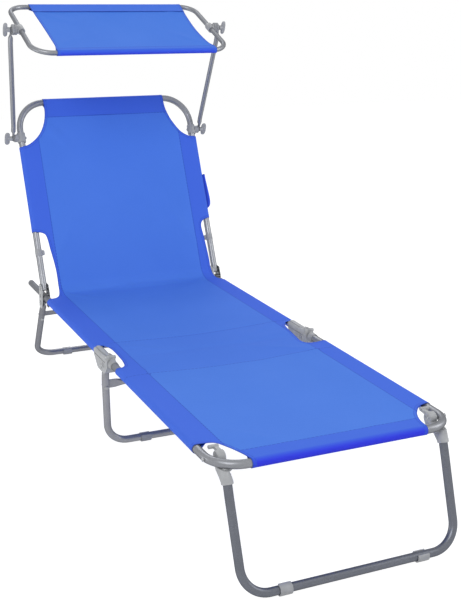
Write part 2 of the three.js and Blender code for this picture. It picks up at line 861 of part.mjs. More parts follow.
function frontPivotBolt() {
  return pin(
    headInnerX - clearance,
    sideX + tubeRadius + clearance,
    -frontLegPivot,
    -footPinRise,
    pinRadius,
    pinHeadRadius,
    pinHeadHeight,
  );
}

// A curved bite at the corner of a cloth, which starts across the side tube and runs out along the cloth
function cornerBite(sign, startX, startY, endX, endY) {
  const outside = overallWidth;
  const shape = new THREE.Shape();
  const beyond = endY > startY ? endY + outside : endY - outside;
  const bowX = THREE.MathUtils.lerp(startX, endX, 0.75);
  const bowY = THREE.MathUtils.lerp(startY, endY, 0.08);
  shape.moveTo(outside, startY);
  shape.lineTo(startX, startY);
  shape.quadraticCurveTo(bowX, bowY, endX, endY);
  shape.lineTo(endX, beyond);
  shape.lineTo(outside, beyond);
  shape.closePath();
  const body = mergeVertices(prism(shape, -outside / 4, outside / 4));
  return sign > 0 ? body : mirrored(body);
}

function footSling() {
  const sleeveLength = footSleeveEnd - midCutoutFront;
  const sleeveY = -(footSleeveEnd + midCutoutFront) / 2;
  const footStep = footLength / sheetSteps;
  const ends = [-footLength, -clothBreak];
  const slack = [-footLength + footStep, -clothBreak];
  const cloth = joined(
    sheet(sideX, sideHem, sleeveRadius, seatSag, ...ends, ...slack),
    sleeve(sleeveRadius, hemReach, sleeveLength, 0, sideX, sleeveY),
    sleeve(sleeveRadius, hemReach, sleeveLength, Math.PI, -sideX, sleeveY),
    sleeve(sleeveRadius, hemReach, 2 * frontSleeveHalfWidth, -Math.PI / 2, 0, -footLength),
  );
  return cut(
    cloth,
    bite(1, midCutoutRight, midCutoutRadius, -midCutoutFront, midCutoutBack),
    bite(-1, midCutoutLeft, midCutoutRadius / 2, -midCutoutFront, midCutoutBack),
    cornerBite(1, sideX - tubeRadius, -footSleeveEnd, frontSleeveHalfWidth, -footLength),
    cornerBite(-1, sideX - tubeRadius, -footSleeveEnd, frontSleeveHalfWidth, -footLength),
  );
}

addMesh(foot, 'foot_frame', footFrame(), materials.frame);
addPair(foot, 'mid_hinge_knuckle', hingeKnuckle(), materials.plastic);
addPair(foot, 'front_leg_bolt', frontPivotBolt(), materials.steel);
addMesh(foot, 'foot_sling', footSling().translate([0, 0, -footPinRise]), materials.cloth);

// Front leg: a bent tube whose ends stand in moulded heads, which turn on bolts inside the foot frame
const frontLean = -Math.atan2(frontLegBarY - frontLegTopY, frontLegTopZ - barHeight);
const front = new THREE.Group();
front.name = 'front';
front.position.set(0, -frontLegPivot, -footPinRise);
front.rotation.x = frontLean;
foot.add(front);

// A place on the side view of the leg, told from its pivot in the leg's own leaning frame
function inFrontLeg(y, z) {
  const place = new THREE.Vector3(0, -y + frontLegPivot, z - sectionHeight);
  return place.applyAxisAngle(axisX, -frontLean);
}
const frontTop = inFrontLeg(frontLegTopY, frontLegTopZ);
const frontBar = inFrontLeg(frontLegBarY, barHeight);

function frontLeg() {
  const topZ = frontTop.z + headSocketHigh - headSocketWall - clearance;
  const bendZ = frontTop.z - headSocketLow - headSocketWall - tubeRadius;
  return solid(tube([
    [frontLegTopX, frontTop.y, topZ],
    [frontLegTopX, frontTop.y, bendZ],
    [frontLegBarX, frontBar.y, frontBar.z, legBendRadius],
    [-frontLegBarX, frontBar.y, frontBar.z, legBendRadius],
    [-frontLegTopX, frontTop.y, bendZ],
    [-frontLegTopX, frontTop.y, topZ],
  ], tubeRadius));
}

function frontHead() {
  const bore = tubeBore;
  const socket = bore + headSocketWall;
  const low = frontTop.z - headSocketLow;
  const high = frontTop.z + headSocketHigh;
  const rod = (radius, from, to) => {
    const body = new THREE.CylinderGeometry(radius, radius, to - from, tubeSides);
    return body.rotateX(Math.PI / 2).translate(frontLegTopX, frontTop.y, (from + to) / 2);
  };
  const arm = roundedOutline([
    [0.9 * headLobeRadius, -0.2 * headLobeRadius, 0],
    [-0.5 * headLobeRadius, -1.2 * headLobeRadius, 0],
    [frontTop.y - 0.9 * socket, high + 0.2 * socket, socket / 2],
    [frontTop.y - 0.9 * socket, low + 0.6 * socket, 0],
    [frontTop.y + 0.9 * socket, low + 0.6 * socket, 0],
    [frontTop.y + 0.9 * socket, high, socket / 2],
  ]);
  const level = (geometry) => geometry.rotateX(-frontLean);
  const fingerLow = tubeRadius + clearance;
  const fingerRoot = fingerLength - fingerThickness;
  const fingerEnd = sideX + fingerReach / 2;
  const stalk = [fingerLow - fingerThickness, fingerLow + fingerThickness / 2];
  const body = joined(
    rod(socket, low, high),
    rodX(headLobeRadius, headInnerX, headOuterX, 0, 0, tubeSides),
    rodX(headBossRadius, headInnerX, headBossX, 0, 0),
    prismX(arm, headInnerX, headOuterX),
    level(block(headInnerX, headOuterX, 0, fingerLength, ...stalk)),
    level(block(headInnerX, fingerEnd, fingerRoot, fingerLength, fingerLow, fingerLow + fingerThickness)),
  );
  const through = [headInnerX - headThickness, sideX];
  return cut(body, rod(bore, low - socket, high - headSocketWall), rodX(pinHole, ...through));
}

addMesh(front, 'front_leg', frontLeg(), materials.leg);
addPair(front, 'front_leg_head', frontHead(), materials.plastic);
addFeet(front, 'front', -frontBar.z, frontLean, frontBar.y, turnedFootMouthAngle);

// Backrest: its group turns about the back pivot, +y along the back and +z out of its front face
const back = new THREE.Group();
back.name = 'back';
back.position.set(0, seatLength, backPivotZ);
back.rotation.x = backAngle;
seat.add(back);

function backFrame() {
  const corners = [
    [sideX, -backTubeTail, 0],
    [sideX, backLength, 0, backCornerRadius],
    [-sideX, backLength, 0, backCornerRadius],
    [-sideX, -backTubeTail, 0],
  ];
  return cut(
    solid(tube(corners, tubeRadius, boreRadius)),
    rodX(pinHole, sideX - 2 * tubeRadius, sideX + 2 * tubeRadius),
    rodX(pinHole, -sideX - 2 * tubeRadius, -sideX + 2 * tubeRadius),
  );
}

function backCatch() {
  const bore = tubeBore;
  const outer = bore + catchWall;
  const [from, to] = [catchPlace - catchLength / 2, catchPlace + catchLength / 2];
  const tab = block(
    sideX - outer - catchTabReach,
    sideX - bore,
    catchPlace - catchLength / 4,
    catchPlace + catchLength / 4,
    -catchTabThickness / 2,
    catchTabThickness / 2,
  );
  const hoop = rodY(outer, from, to, sideX, 0, tubeSides);
  return cut(joined(hoop, tab), rodY(bore, from - outer, to + outer, sideX, 0, tubeSides));
}

function lowClamp() {
  const bore = tubeBore;
  const outer = bore + lowClampWall;
  const face = armLowX - armEndThickness / 2 - clearance;
  const [from, to] = [armPivotPlace - lowClampLength / 2, armPivotPlace + lowClampLength / 2];
  const screw = [sideX - outer - lowClampScrewHeight, sideX - bore];
  return cut(
    joined(
      rodY(outer, from, to, sideX, 0, tubeSides),
      rodX(lowClampBossRadius, sideX, face, armPivotPlace, 0, tubeSides),
      rodX(lowClampScrewRadius, ...screw, armPivotPlace, 0),
    ),
    rodY(bore, from - outer, to + outer, sideX, 0, tubeSides),
    rodX(boltHole, face - knobBoltDepth - clearance, face + outer, armPivotPlace, 0),
  );
}

function backSling() {
  const sleeveLength = backSleeveEnd - backSleeveStart;
  const sleeveY = (backSleeveEnd + backSleeveStart) / 2;
  const backStep = (backLength + backClothStart) / sheetSteps;
  const ends = [-backClothStart, backLength];
  const slack = [-backClothStart, backLength - backStep];
  const cloth = joined(
    sheet(sideX, sideHem, sleeveRadius, seatSag, ...ends, ...slack),
    sleeve(sleeveRadius, hemReach, sleeveLength, 0, sideX, sleeveY),
    sleeve(sleeveRadius, hemReach, sleeveLength, Math.PI, -sideX, sleeveY),
    sleeve(sleeveRadius, hemReach, 2 * backTopSleeveHalfWidth, Math.PI / 2, 0, backLength),
  );
  return cut(
    cloth,
    bite(1, rearCutoutX, rearCutoutRadius, -backCornerRadius, backSleeveStart),
    bite(-1, rearCutoutX, rearCutoutRadius, -backCornerRadius, backSleeveStart),
    cornerBite(1, sideX - tubeRadius, backSleeveEnd, backTopSleeveHalfWidth, backLength),
    cornerBite(-1, sideX - tubeRadius, backSleeveEnd, backTopSleeveHalfWidth, backLength),
  );
}

function sidePocket() {
  const inside = sideX + sleeveRadius + clothThickness + clearance;
  const end = pocketStart + pocketHeight;
  const outline = (skin, top) => {
    const shape = new THREE.Shape();
    shape.moveTo(inside + skin, pocketStart + skin);
    shape.lineTo(inside + pocketFloor - skin, pocketStart + skin);
    shape.lineTo(inside + pocketMouth - skin, top);
    shape.lineTo(inside + skin, top);
    shape.closePath();
    return shape;
  };
  return cut(
    solid(prism(outline(0, end), -pocketDepth, 0)),
    prism(outline(pocketWall, end + pocketWall), -pocketDepth + pocketWall, -pocketWall),
  );
}

addMesh(back, 'back_frame', backFrame(), materials.frame);
addPair(back, 'back_catch', backCatch(), materials.plastic);
addPair(back, 'arm_clamp', lowClamp(), materials.plastic);
addMesh(back, 'back_sling', backSling(), materials.cloth);
addMesh(back, 'side_pocket', sidePocket(), materials.cloth);

// Canopy arms, told from their lower pivots with +y along the arms
const arms = new THREE.Group();
arms.name = 'arms';
arms.position.set(0, armPivotPlace, 0);
arms.rotation.x = armAngle - backAngle;
back.add(arms);

function canopyArm() {
  const bend = armEndLength + armBlendLength;
  const sizes = {
    radius: slimRadius,
    thickness: armEndThickness,
    width: armEndWidth,
    flat: armEndLength,
    blend: armBlendLength,
  };
  const bar = tube([
    [armLowX, 0, 0],
    [armLowX, armEndLength, 0],
    [armLowX, armEndLength + armBlendLength / 2, 0],
    [armLowX, bend, 0],
    [armHighX, armLength - bend, 0],
    [armHighX, armLength - armEndLength - armBlendLength / 2, 0],
    [armHighX, armLength - armEndLength, 0],
    [armHighX, armLength, 0],
  ], slimRadius);
  flattenEnd(bar, new THREE.Vector3(armLowX, 0, 0), axisY, axisX, sizes);
  flattenEnd(bar, new THREE.Vector3(armHighX, armLength, 0), axisY.clone().negate(), axisX, sizes);
  let body = solid(bar);
  for (const [x, y] of [[armLowX, 0], [armHighX, armLength]]) {
    const [from, to] = [x - armEndThickness / 2, x + armEndThickness / 2];
    body = body.add(solid(rodX(armEndWidth / 2, from, to, y, 0, tubeSides)));
    body = cut(body, rodX(boltHole, from - armEndThickness, to + armEndThickness, y, 0));
  }
  return body;
}

// A wing knob on its bolt, told from the middle of the flattened arm end that it clamps
function wingKnob(wingDepth) {
  const face = armEndThickness / 2 + clearance;
  const stemEnd = face + knobStemLength;
  const wing = new THREE.Shape().absellipse(0, 0, knobWingThickness / 2, knobWingSpan / 2, 0, 2 * Math.PI);
  return joined(
    rodX(knobBoltRadius, -face - knobBoltDepth, stemEnd),
    rodX(knobStemRadius, face, stemEnd + wingDepth / 3),
    prismX(wing, stemEnd, stemEnd + wingDepth),
  );
}

function addKnobs(name, wingDepth, x, y) {
  const right = geometryOf(wingKnob(wingDepth).rotate([90, 0, 0]));
  for (const [side, word] of [[1, 'right'], [-1, 'left']]) {
    const knob = addMesh(arms, `${name}_${word}`, side > 0 ? right : mirrored(right), materials.plastic);
    knob.position.set(side * x, y, 0);
  }
}

addPair(arms, 'canopy_arm', canopyArm(), materials.frame);
addKnobs('lower_knob', knobBowDepth, armLowX, 0);
addKnobs('upper_knob', knobWingDepth, armHighX, armLength);

// Canopy loop and its cloth, told from the upper pivots with +y towards the rear bar
const canopy = new THREE.Group();
canopy.name = 'canopy';
canopy.position.set(0, armLength, 0);
canopy.rotation.x = loopAngle - armAngle;
arms.add(canopy);

function canopyLoop() {
  const half = (end, radius) => tube([
    [loopX, -Math.sign(end) * slimRadius, 0],
    [loopX, end, 0, radius],
    [-loopX, end, 0, radius],
    [-loopX, -Math.sign(end) * slimRadius, 0],
  ], slimRadius);
  return joined(half(-loopFront, loopFrontCornerRadius), half(loopRear, loopRearCornerRadius));
}

function highClamp() {
  const bore = slimBore;
  const outer = bore + highClampWall;
  const face = armHighX - armEndThickness / 2 - clearance;
  const discStart = loopX + outer + clearance;
  const discMiddle = (discStart + face) / 2;
  return cut(
    joined(
      rodY(outer, -highClampLength / 2, highClampLength / 2, loopX, 0, tubeSides),
      rodX(discRadius - highClampWall, loopX, face, 0, 0, tubeSides),
      rodX(discRadius, discStart, discMiddle - discGroove / 2, 0, 0, tubeSides),
      rodX(discRadius, discMiddle + discGroove / 2, face, 0, 0, tubeSides),
    ),
    rodY(bore, -highClampLength, highClampLength, loopX, 0, tubeSides),
    rodX(boltHole, face - knobBoltDepth - clearance, face + outer),
  );
}

function canopyCloth() {
  const bore = slimRadius + clothGap;
  const halfDepth = (loopFront + loopRear) / 2;
  const middle = (loopRear - loopFront) / 2;
  const width = 2 * canopyClothHalfWidth;
  const hem = halfDepth - slimHemReach;
  const top = sheet(halfDepth, hem, bore, canopySag, -width / 2, width / 2, -2 * width, 2 * width);
  const waist = new THREE.Shape();
  waist.moveTo(width, -halfDepth + middle);
  waist.lineTo(canopyClothHalfWidth, -halfDepth + middle);
  const waistX = canopyClothHalfWidth - canopyEdgeWaist;
  waist.quadraticCurveTo(waistX, middle, canopyClothHalfWidth, halfDepth + middle);
  waist.lineTo(width, halfDepth + middle);
  waist.closePath();
  const edge = mergeVertices(prism(waist, -halfDepth, halfDepth));
  return cut(
    joined(
      top.rotateZ(Math.PI / 2).translate(0, middle, 0),
      sleeve(bore, slimHemReach, width, Math.PI / 2, 0, loopRear),
      sleeve(bore, slimHemReach, width, -Math.PI / 2, 0, -loopFront),
    ),
    edge,
    mirrored(edge),
  );
}

addMesh(canopy, 'canopy_loop', canopyLoop(), materials.frame);
addPair(canopy, 'loop_clamp', highClamp(), materials.plastic);
addMesh(canopy, 'canopy_cloth', canopyCloth(), materials.canopy);

// The origin is at the middle of the footprint of the whole object, on the ground
lounger.updateMatrixWorld(true);
const bounds = new THREE.Box3().setFromObject(lounger, true);
const centre = bounds.getCenter(new THREE.Vector3());
lounger.position.set(-centre.x, -centre.y, -bounds.min.z);

export default lounger;
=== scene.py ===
# The dressed sun lounger: bent tubes, moulded fittings, blue cloth slings and a small canopy
import json
import math

import bmesh
import bpy
import numpy as np
from mathutils import Matrix, Vector


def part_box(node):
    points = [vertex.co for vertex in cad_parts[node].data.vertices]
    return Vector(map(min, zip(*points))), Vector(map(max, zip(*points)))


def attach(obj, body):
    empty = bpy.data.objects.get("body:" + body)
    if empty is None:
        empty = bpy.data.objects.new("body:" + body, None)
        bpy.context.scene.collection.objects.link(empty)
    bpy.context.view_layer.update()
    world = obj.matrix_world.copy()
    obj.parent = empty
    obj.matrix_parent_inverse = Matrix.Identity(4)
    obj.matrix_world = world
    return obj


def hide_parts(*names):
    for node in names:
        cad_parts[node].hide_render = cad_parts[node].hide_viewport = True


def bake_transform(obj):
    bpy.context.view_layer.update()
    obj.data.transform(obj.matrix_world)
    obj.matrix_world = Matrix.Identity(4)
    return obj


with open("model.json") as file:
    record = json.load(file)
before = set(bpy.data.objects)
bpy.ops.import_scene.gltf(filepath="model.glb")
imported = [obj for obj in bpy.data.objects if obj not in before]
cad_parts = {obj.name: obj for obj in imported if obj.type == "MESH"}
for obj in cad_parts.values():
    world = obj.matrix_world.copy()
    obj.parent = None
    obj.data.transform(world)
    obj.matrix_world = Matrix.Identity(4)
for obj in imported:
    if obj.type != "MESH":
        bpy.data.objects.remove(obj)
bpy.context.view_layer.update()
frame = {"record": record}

# Pieces are made in millimetres in the frame of their own section, and then settled in metres
MM = 0.001
FRAME_SHIFT = -0.070842

# Tubes: radii, walls, and the bores of the pieces that go round them
TUBE = 9.5
SLIM = 7.0
TUBE_WALL = 1.0
CLEARANCE = 0.3
BORE = TUBE + CLEARANCE
WIDE_BORE = TUBE + 2 * CLEARANCE
SIDE_X = 280.5
SEAT_Z = 265.0

# Sections
FOOT_LENGTH = 658.5
FOOT_BEND = 67.5
FOOT_TUBE_END = -17.3
SEAT_LENGTH = 633.5
SEAT_STUB = 156.5
SEAT_TUBE_START = 12.3
BACK_LENGTH = 576.0
BACK_BEND = 85.0
BACK_TUBE_START = -8.0
BACK_ANGLE = math.radians(65.15)
BACK_PIVOT_Z = 290.8
PIN_RISE = 13.0
PIN_Z = SEAT_Z + PIN_RISE
SHELL_WALL = 2.4
BRACKET_WALL = 1.6

# Legs
LEG_PIVOT_Z = 243.0
BAR_HEIGHT = 12.5
BAR_BEND = 60.0
KNEE_BEND = 160.0
MID_LEG = (40.0, 79.0)
REAR_LEG = (640.0, 828.0)
LEG_INSET = 13.8
KNEE_DEPTH = 38.0
BRACE_Z = 182.0
BRACE_SETBACK = 6.0
FRONT_PIVOT = 608.0
FRONT_TOP = (655.5, 225.0)
FRONT_BAR_Y = 732.0
FRONT_TOP_X = 256.0
FRONT_BAR_X = 253.0
FOOT_X = 163.0

# Canopy
ARM_PLACE = 467.0
ARM_LENGTH = 345.0
ARM_BEND = 90.0
ARM_STRAIGHT = 40.0
ARM_ANGLE = math.radians(109.7)
ARM_LOW_X = 306.0
ARM_HIGH_X = 323.0
ARM_HALF_THICK = 2.0
LOOP_ANGLE = math.radians(21.5)
LOOP_X = 295.5
LOOP_FRONT = 157.5
LOOP_REAR = 159.0
LOOP_FRONT_BEND = 58.0
LOOP_REAR_BEND = 48.0

# Cloth
CLOTH_RADIUS = TUBE + 1.1
LOOP_CLOTH_RADIUS = SLIM + 1.1
SHEET_Z = SEAT_Z + CLOTH_RADIUS
SEAT_SAG = 7.0
CANOPY_SAG = 6.0
CLOTH_KEYS = ("hem", "row", "lap", "turn")


def lean_of(leg):
    pivot, bar = leg
    return math.atan2(bar - pivot, LEG_PIVOT_Z - BAR_HEIGHT)


def length_of(leg):
    pivot, bar = leg
    return math.hypot(bar - pivot, LEG_PIVOT_Z - BAR_HEIGHT)


def moved(x, y, z):
    return Matrix.Translation((x, y, z))


def turned_x(angle):
    return Matrix.Rotation(angle, 4, "X")


FRONT_LEAN = -math.atan2(FRONT_BAR_Y - FRONT_TOP[0], FRONT_TOP[1] - BAR_HEIGHT)
SEAT = moved(0, FRAME_SHIFT, 0) @ Matrix.Scale(MM, 4)
MID = SEAT @ moved(0, MID_LEG[0], LEG_PIVOT_Z) @ turned_x(lean_of(MID_LEG))
REAR = SEAT @ moved(0, REAR_LEG[0], LEG_PIVOT_Z) @ turned_x(lean_of(REAR_LEG))
FOOT = SEAT @ moved(0, 0, PIN_Z)
FRONT = FOOT @ moved(0, -FRONT_PIVOT, -PIN_RISE) @ turned_x(FRONT_LEAN)
BACK = SEAT @ moved(0, SEAT_LENGTH, BACK_PIVOT_Z) @ turned_x(BACK_ANGLE)
ARMS = BACK @ moved(0, ARM_PLACE, 0) @ turned_x(ARM_ANGLE - BACK_ANGLE)
CANOPY = ARMS @ moved(0, ARM_LENGTH, 0) @ turned_x(LOOP_ANGLE - ARM_ANGLE)

BODIES = frame["record"]["behaviour"]["bodies"]
BODY_OF_NODE = {node: body for body, nodes in BODIES.items() for node in nodes}
SLOT_OF_NODE = {entry["node"]: entry["material_slot"] for entry in frame["record"]["subparts"]}


# Materials
def linear(colour):
    """An sRGB hex colour as linear values."""
    parts = [int(colour[i : i + 2], 16) / 255 for i in (1, 3, 5)]
    return [c / 12.92 if c <= 0.04045 else ((c + 0.055) / 1.055) ** 2.4 for c in parts] + [1]


def feed(tree, sockets, values):
    """Gives each socket its link, its plain value or its hex colour."""
    for socket, value in zip(sockets, values):
        if hasattr(value, "links"):
            tree.links.new(value, socket)
        else:
            socket.default_value = linear(value) if isinstance(value, str) else value


def wire(tree, made, **settings):
    """Sets the sockets of a node, and its attributes where no socket has the name."""
    for key, value in settings.items():
        socket = next((s for s in made.inputs if s.name.lower() == key.replace("_", " ")), None)
        if socket is None:
            setattr(made, key, value)
        else:
            feed(tree, [socket], [value])
    return made


def node(tree, kind, **settings):
    return wire(tree, tree.nodes.new(kind), **settings)


def plain_finish(name, **settings):
    """A material with one plain shader, and its tree and shader to build on."""
    material = bpy.data.materials.new(name)
    material.use_nodes = True
    tree = material.node_tree
    tree.nodes.clear()
    shader = node(tree, "ShaderNodeBsdfPrincipled", **settings)
    node(tree, "ShaderNodeOutputMaterial", surface=shader.outputs["BSDF"])
    return material, tree, shader


def finish(name, **settings):
    """A plain finish, with the object coordinates for its patterns."""
    material, tree, shader = plain_finish(name, **settings)
    return material, tree, shader, node(tree, "ShaderNodeTexCoord").outputs["Object"]


def blend_of(tree, factor, first, second):
    """Mixes two colours by a factor; each may be a socket."""
    mix = node(tree, "ShaderNodeMix", data_type="RGBA")
    feed(tree, (mix.inputs[0], mix.inputs[6], mix.inputs[7]), (factor, first, second))
    return mix.outputs[2]


def maths(tree, operation, *values):
    """The result of one operation on sockets and numbers."""
    made = node(tree, "ShaderNodeMath", operation=operation)
    feed(tree, made.inputs, values)
    return made.outputs[0]


def noise(tree, place, scale, detail):
    return node(tree, "ShaderNodeTexNoise", vector=place, scale=scale, detail=detail).outputs["Fac"]


def ramp(tree, source, *stops):
    """A colour ramp as a plain line of grey between two stops, each a pair of place and brightness."""
    made = node(tree, "ShaderNodeValToRGB", fac=source)
    for point, (place, value) in zip(made.color_ramp.elements, stops):
        point.position = place
        point.color = (value, value, value, 1)
    return made.outputs["Color"]


def stepped(tree, source, start, end, height):
    """Goes smoothly from nothing at one distance to the given height at another."""
    at_low, at_high = (0.0, height) if start < end else (height, 0.0)
    made = node(tree, "ShaderNodeMapRange", interpolation_type="SMOOTHSTEP", value=source)
    wire(tree, made, from_min=min(start, end), from_max=max(start, end), to_min=at_low, to_max=at_high)
    return made.outputs["Result"]


def mottled(tree, source, share, colour, dark, pale):
    """A colour that goes from dark to pale by a source, and is drawn to its middle colour by a share."""
    return blend_of(tree, share, blend_of(tree, source, dark, pale), colour)


def bumps(tree, height, strength, distance):
    """The normals of a surface with bumps by a socket; the distance is in metres."""
    bump = node(tree, "ShaderNodeBump", height=height, strength=strength, distance=distance)
    return bump.outputs["Normal"]


def powder_coat(name, colour, dark, pale):
    """Powder-coated steel tube: a satin grey skin with fine orange peel, faint flecks and a few scuffs."""
    material, tree, shader, place = finish(name, metallic=0.6, roughness=0.34, specular_ior_level=0.15)
    fleck = ramp(tree, noise(tree, place, 900.0, 2.0), (0.35, 0), (0.65, 1))
    cloud = noise(tree, place, 22.0, 4.0)
    worn = ramp(tree, cloud, (0.42, 0), (0.75, 0.35))
    # Orange peel is about 0.8 mm from dimple to dimple and is drawn at 1.2 mm so that it shows
    peel = noise(tree, place, 1 / 0.0012, 1.0)
    wire(
        tree,
        shader,
        base_color=blend_of(tree, worn, mottled(tree, fleck, 0.55, colour, dark, pale), dark),
        roughness=ramp(tree, cloud, (0.3, 0.27), (0.7, 0.42)),
        # Metal flakes in the powder lie flat, so the gloss stays dull at the tube's sides
        specular_tint="#4a4a4c",
        normal=bumps(tree, peel, 0.25, 0.0002),
    )
    return material


def moulded_nylon(name, colour, dark, pale):
    """Moulded nylon: light grey, matt from the spark-eroded mould, slightly greyer where hands reach it."""
    material, tree, shader, place = finish(name, roughness=0.52, specular_ior_level=0.45)
    cloud = ramp(tree, noise(tree, place, 60.0, 5.0), (0.3, 0), (0.7, 1))
    # Mould grain of about 0.5 mm, drawn at 0.9 mm so that it shows
    grain = noise(tree, place, 1 / 0.0009, 2.0)
    wire(
        tree,
        shader,
        base_color=mottled(tree, cloud, 0.5, colour, dark, pale),
        roughness=ramp(tree, grain, (0.3, 0.45), (0.7, 0.62)),
        normal=bumps(tree, grain, 0.3, 0.00015),
    )
    return material


def zinc_plate(name, colour, dark):
    """Zinc-plated steel: bright grey with a soft crystal pattern and duller patches."""
    material, tree, shader, place = finish(name, metallic=1.0, roughness=0.34)
    crystal = node(tree, "ShaderNodeTexVoronoi", vector=place, scale=1 / 0.003)
    mixed = ramp(tree, crystal.outputs["Distance"], (0.1, 0.15), (0.8, 0.6))
    dull = ramp(tree, noise(tree, place, 90.0, 4.0), (0.3, 0.26), (0.7, 0.46))
    wire(tree, shader, base_color=blend_of(tree, mixed, colour, dark), roughness=dull)
    return material


def threads(tree, flat, way):
    """Threads side by side. Real ones are about 0.6 mm apart and are drawn at 1.5 mm so that they show."""
    band_at_scale_one = 0.314
    scale = band_at_scale_one / 0.0015
    return node(tree, "ShaderNodeTexWave", vector=flat, bands_direction=way, scale=scale).outputs["Fac"]


def woven_polyester(name, colour, dark, pale, double_shade, deep, edge, stitch):
    """Coated woven polyester: a plain weave of bright threads with faint slubs, and painted shade where it
    lies double or turns down over a bar.
    """
    material, tree, shader, place = finish(name, roughness=0.75, specular_ior_level=0.12)
    flat = node(tree, "ShaderNodeUVMap", uv_map="cut").outputs["UV"]
    weave = maths(tree, "MULTIPLY", threads(tree, flat, "X"), threads(tree, flat, "Y"))
    slub_place = node(tree, "ShaderNodeMapping", vector=flat, scale=(40.0, 900.0, 1.0)).outputs[0]
    slub = ramp(tree, noise(tree, slub_place, 1.0, 2.0), (0.55, 0), (0.8, 0.35))
    cloud = ramp(tree, noise(tree, place, 5.0, 3.0), (0.35, 0), (0.75, 0.22))
    body = blend_of(tree, slub, mottled(tree, weave, 0.6, colour, dark, pale), dark)
    body = blend_of(tree, cloud, body, pale)
    # Each attribute of the cloth holds a distance in metres
    hem, row, lap, turn = [
        node(tree, "ShaderNodeAttribute", attribute_name=key).outputs["Fac"] for key in CLOTH_KEYS
    ]
    # Painted shade: no light comes through a double sleeve, so it is drawn darker, and where the cloth turns
    # down over the bar, away from the light, it gets a deeper painted shade. The turned-in cut edge is 9 mm
    # wide and is drawn darker as double cloth too, with a dark line at its very edge.
    for source, start, end, share, shade in (
        (lap, -0.0008, 0.0008, 0.6, double_shade),
        (turn, -0.004, 0.016, 0.8, deep),
        (hem, 0.0095, 0.0085, 0.4, double_shade),
        (hem, 0.0035, 0.001, 0.75, edge),
    ):
        body = blend_of(tree, stepped(tree, source, start, end, share), body, shade)
    # Stitches are about 3 mm long, and are drawn 7 mm long with 3 mm between them so that they show
    along = node(tree, "ShaderNodeVectorMath", operation="DOT_PRODUCT")
    feed(tree, along.inputs, (flat, (1.0, 1.0, 0.0)))
    dash = maths(tree, "GREATER_THAN", maths(tree, "PINGPONG", along.outputs["Value"], 0.005), 0.0014)
    near_row = maths(tree, "LESS_THAN", row, 0.0011)
    near_hem = maths(tree, "COMPARE", hem, 0.0075, 0.0006)
    sewn = maths(tree, "MULTIPLY", maths(tree, "MAXIMUM", near_row, near_hem), dash)
    normal = bumps(tree, maths(tree, "SUBTRACT", weave, sewn), 0.35, 0.0002)
    wire(tree, shader, base_color=blend_of(tree, sewn, body, stitch), normal=normal)
    return material


def seen_rays(tree):
    """Is 1 for what the camera, a gloss or a glass sees, and 0 for what only lights the object."""
    rays = node(tree, "ShaderNodeLightPath").outputs
    seen = maths(tree, "MAXIMUM", rays["Is Camera Ray"], rays["Is Glossy Ray"])
    return maths(tree, "MAXIMUM", seen, rays["Is Transmission Ray"])


FINISHES = {
    "frame_paint": powder_coat("grey powder coat", "#8b8d92", "#7c7e83", "#a0a2a7"),
    # The legs have one paint, drawn at three brightnesses as painted light: lightest on the mid legs and
    # braces, then the rear ones, darkest on the front leg
    "rear_leg_paint": powder_coat("leg powder coat, lit copy for the rear legs", "#88898e", "#78797e", "#9c9da2"),
    "mid_leg_paint": powder_coat("leg powder coat, lit copy for the mid legs", "#95969b", "#86878b", "#a8a9ad"),
    "leg_paint": powder_coat("dark grey powder coat", "#6a6d75", "#5b5e66", "#80838b"),
    "grey_plastic": moulded_nylon("light grey nylon", "#94969a", "#85878b", "#a3a5a9"),
    "light_plastic": moulded_nylon("pale grey nylon", "#a0a2a5", "#919396", "#b0b2b5"),
    "zinc_steel": zinc_plate("zinc plated steel", "#aaacaf", "#85878a"),
    # Cloth colours: body, dark and pale threads, painted shade where double, painted shade where turned away
    # from the light, the dark edge line and the stitches
    "lounger_cloth": woven_polyester(
        "blue woven polyester", "#4a7adb", "#4070ce", "#5686e5", "#3c5cd4", "#2a22d8", "#3350b4", "#3255bb"
    ),
    "canopy_cloth": woven_polyester(
        "blue canopy polyester", "#4076dc", "#386dd0", "#4c82e4", "#3e69d8", "#3240d8", "#3350b4", "#3a60c8"
    ),
}

# Nodes whose finish is a shade of its own within their slot, by their names without the side; on the legs and
# braces this shade is painted light
OWN_FINISHES = {
    "front_leg_head": "light_plastic",
    "mid_hinge_shell": "light_plastic",
    "mid_leg": "mid_leg_paint",
    "mid_brace": "mid_leg_paint",
    "rear_leg": "rear_leg_paint",
    "rear_brace": "rear_leg_paint",
}

# Vertices closer than this become one, and those at the seam of two halves may be twice as far apart
MERGE = 0.005
SEAM_MERGE = 0.01
# The shading goes smoothly over edges up to these angles: on tubes and pins, on cloth, and on small fittings
SMOOTH = 35
CLOTH_SMOOTH = 60
FITTING_SMOOTH = 30


# Handling pieces
def only(piece):
    bpy.ops.object.select_all(action="DESELECT")
    piece.select_set(True)
    bpy.context.view_layer.objects.active = piece


def named(name):
    piece = bpy.context.object
    piece.name = name
    bpy.ops.object.transform_apply(location=True, rotation=True, scale=True)
    return piece


def circle(name, sides, radius=1, **settings):
    bpy.ops.object.select_all(action="DESELECT")
    bpy.ops.mesh.primitive_circle_add(vertices=sides, radius=radius, **settings)
    return named(name)


def box(name, low, high):
    bpy.ops.object.select_all(action="DESELECT")
    middle = [(a + b) / 2 for a, b in zip(low, high)]
    size = [b - a for a, b in zip(low, high)]
    bpy.ops.mesh.primitive_cube_add(size=1, location=middle, scale=size)
    return named(name)


def edit(piece):
    only(piece)
    bpy.ops.object.mode_set(mode="EDIT")
    bpy.ops.mesh.select_all(action="SELECT")


def done():
    bpy.ops.object.mode_set(mode="OBJECT")


def extrude(step):
    bpy.ops.mesh.extrude_region_move(TRANSFORM_OT_translate={"value": step})


def resize(value, centre):
    bpy.ops.transform.resize(value=value, center_override=centre)


def face_outwards():
    bpy.ops.mesh.select_all(action="SELECT")
    bpy.ops.mesh.normals_make_consistent(inside=False)


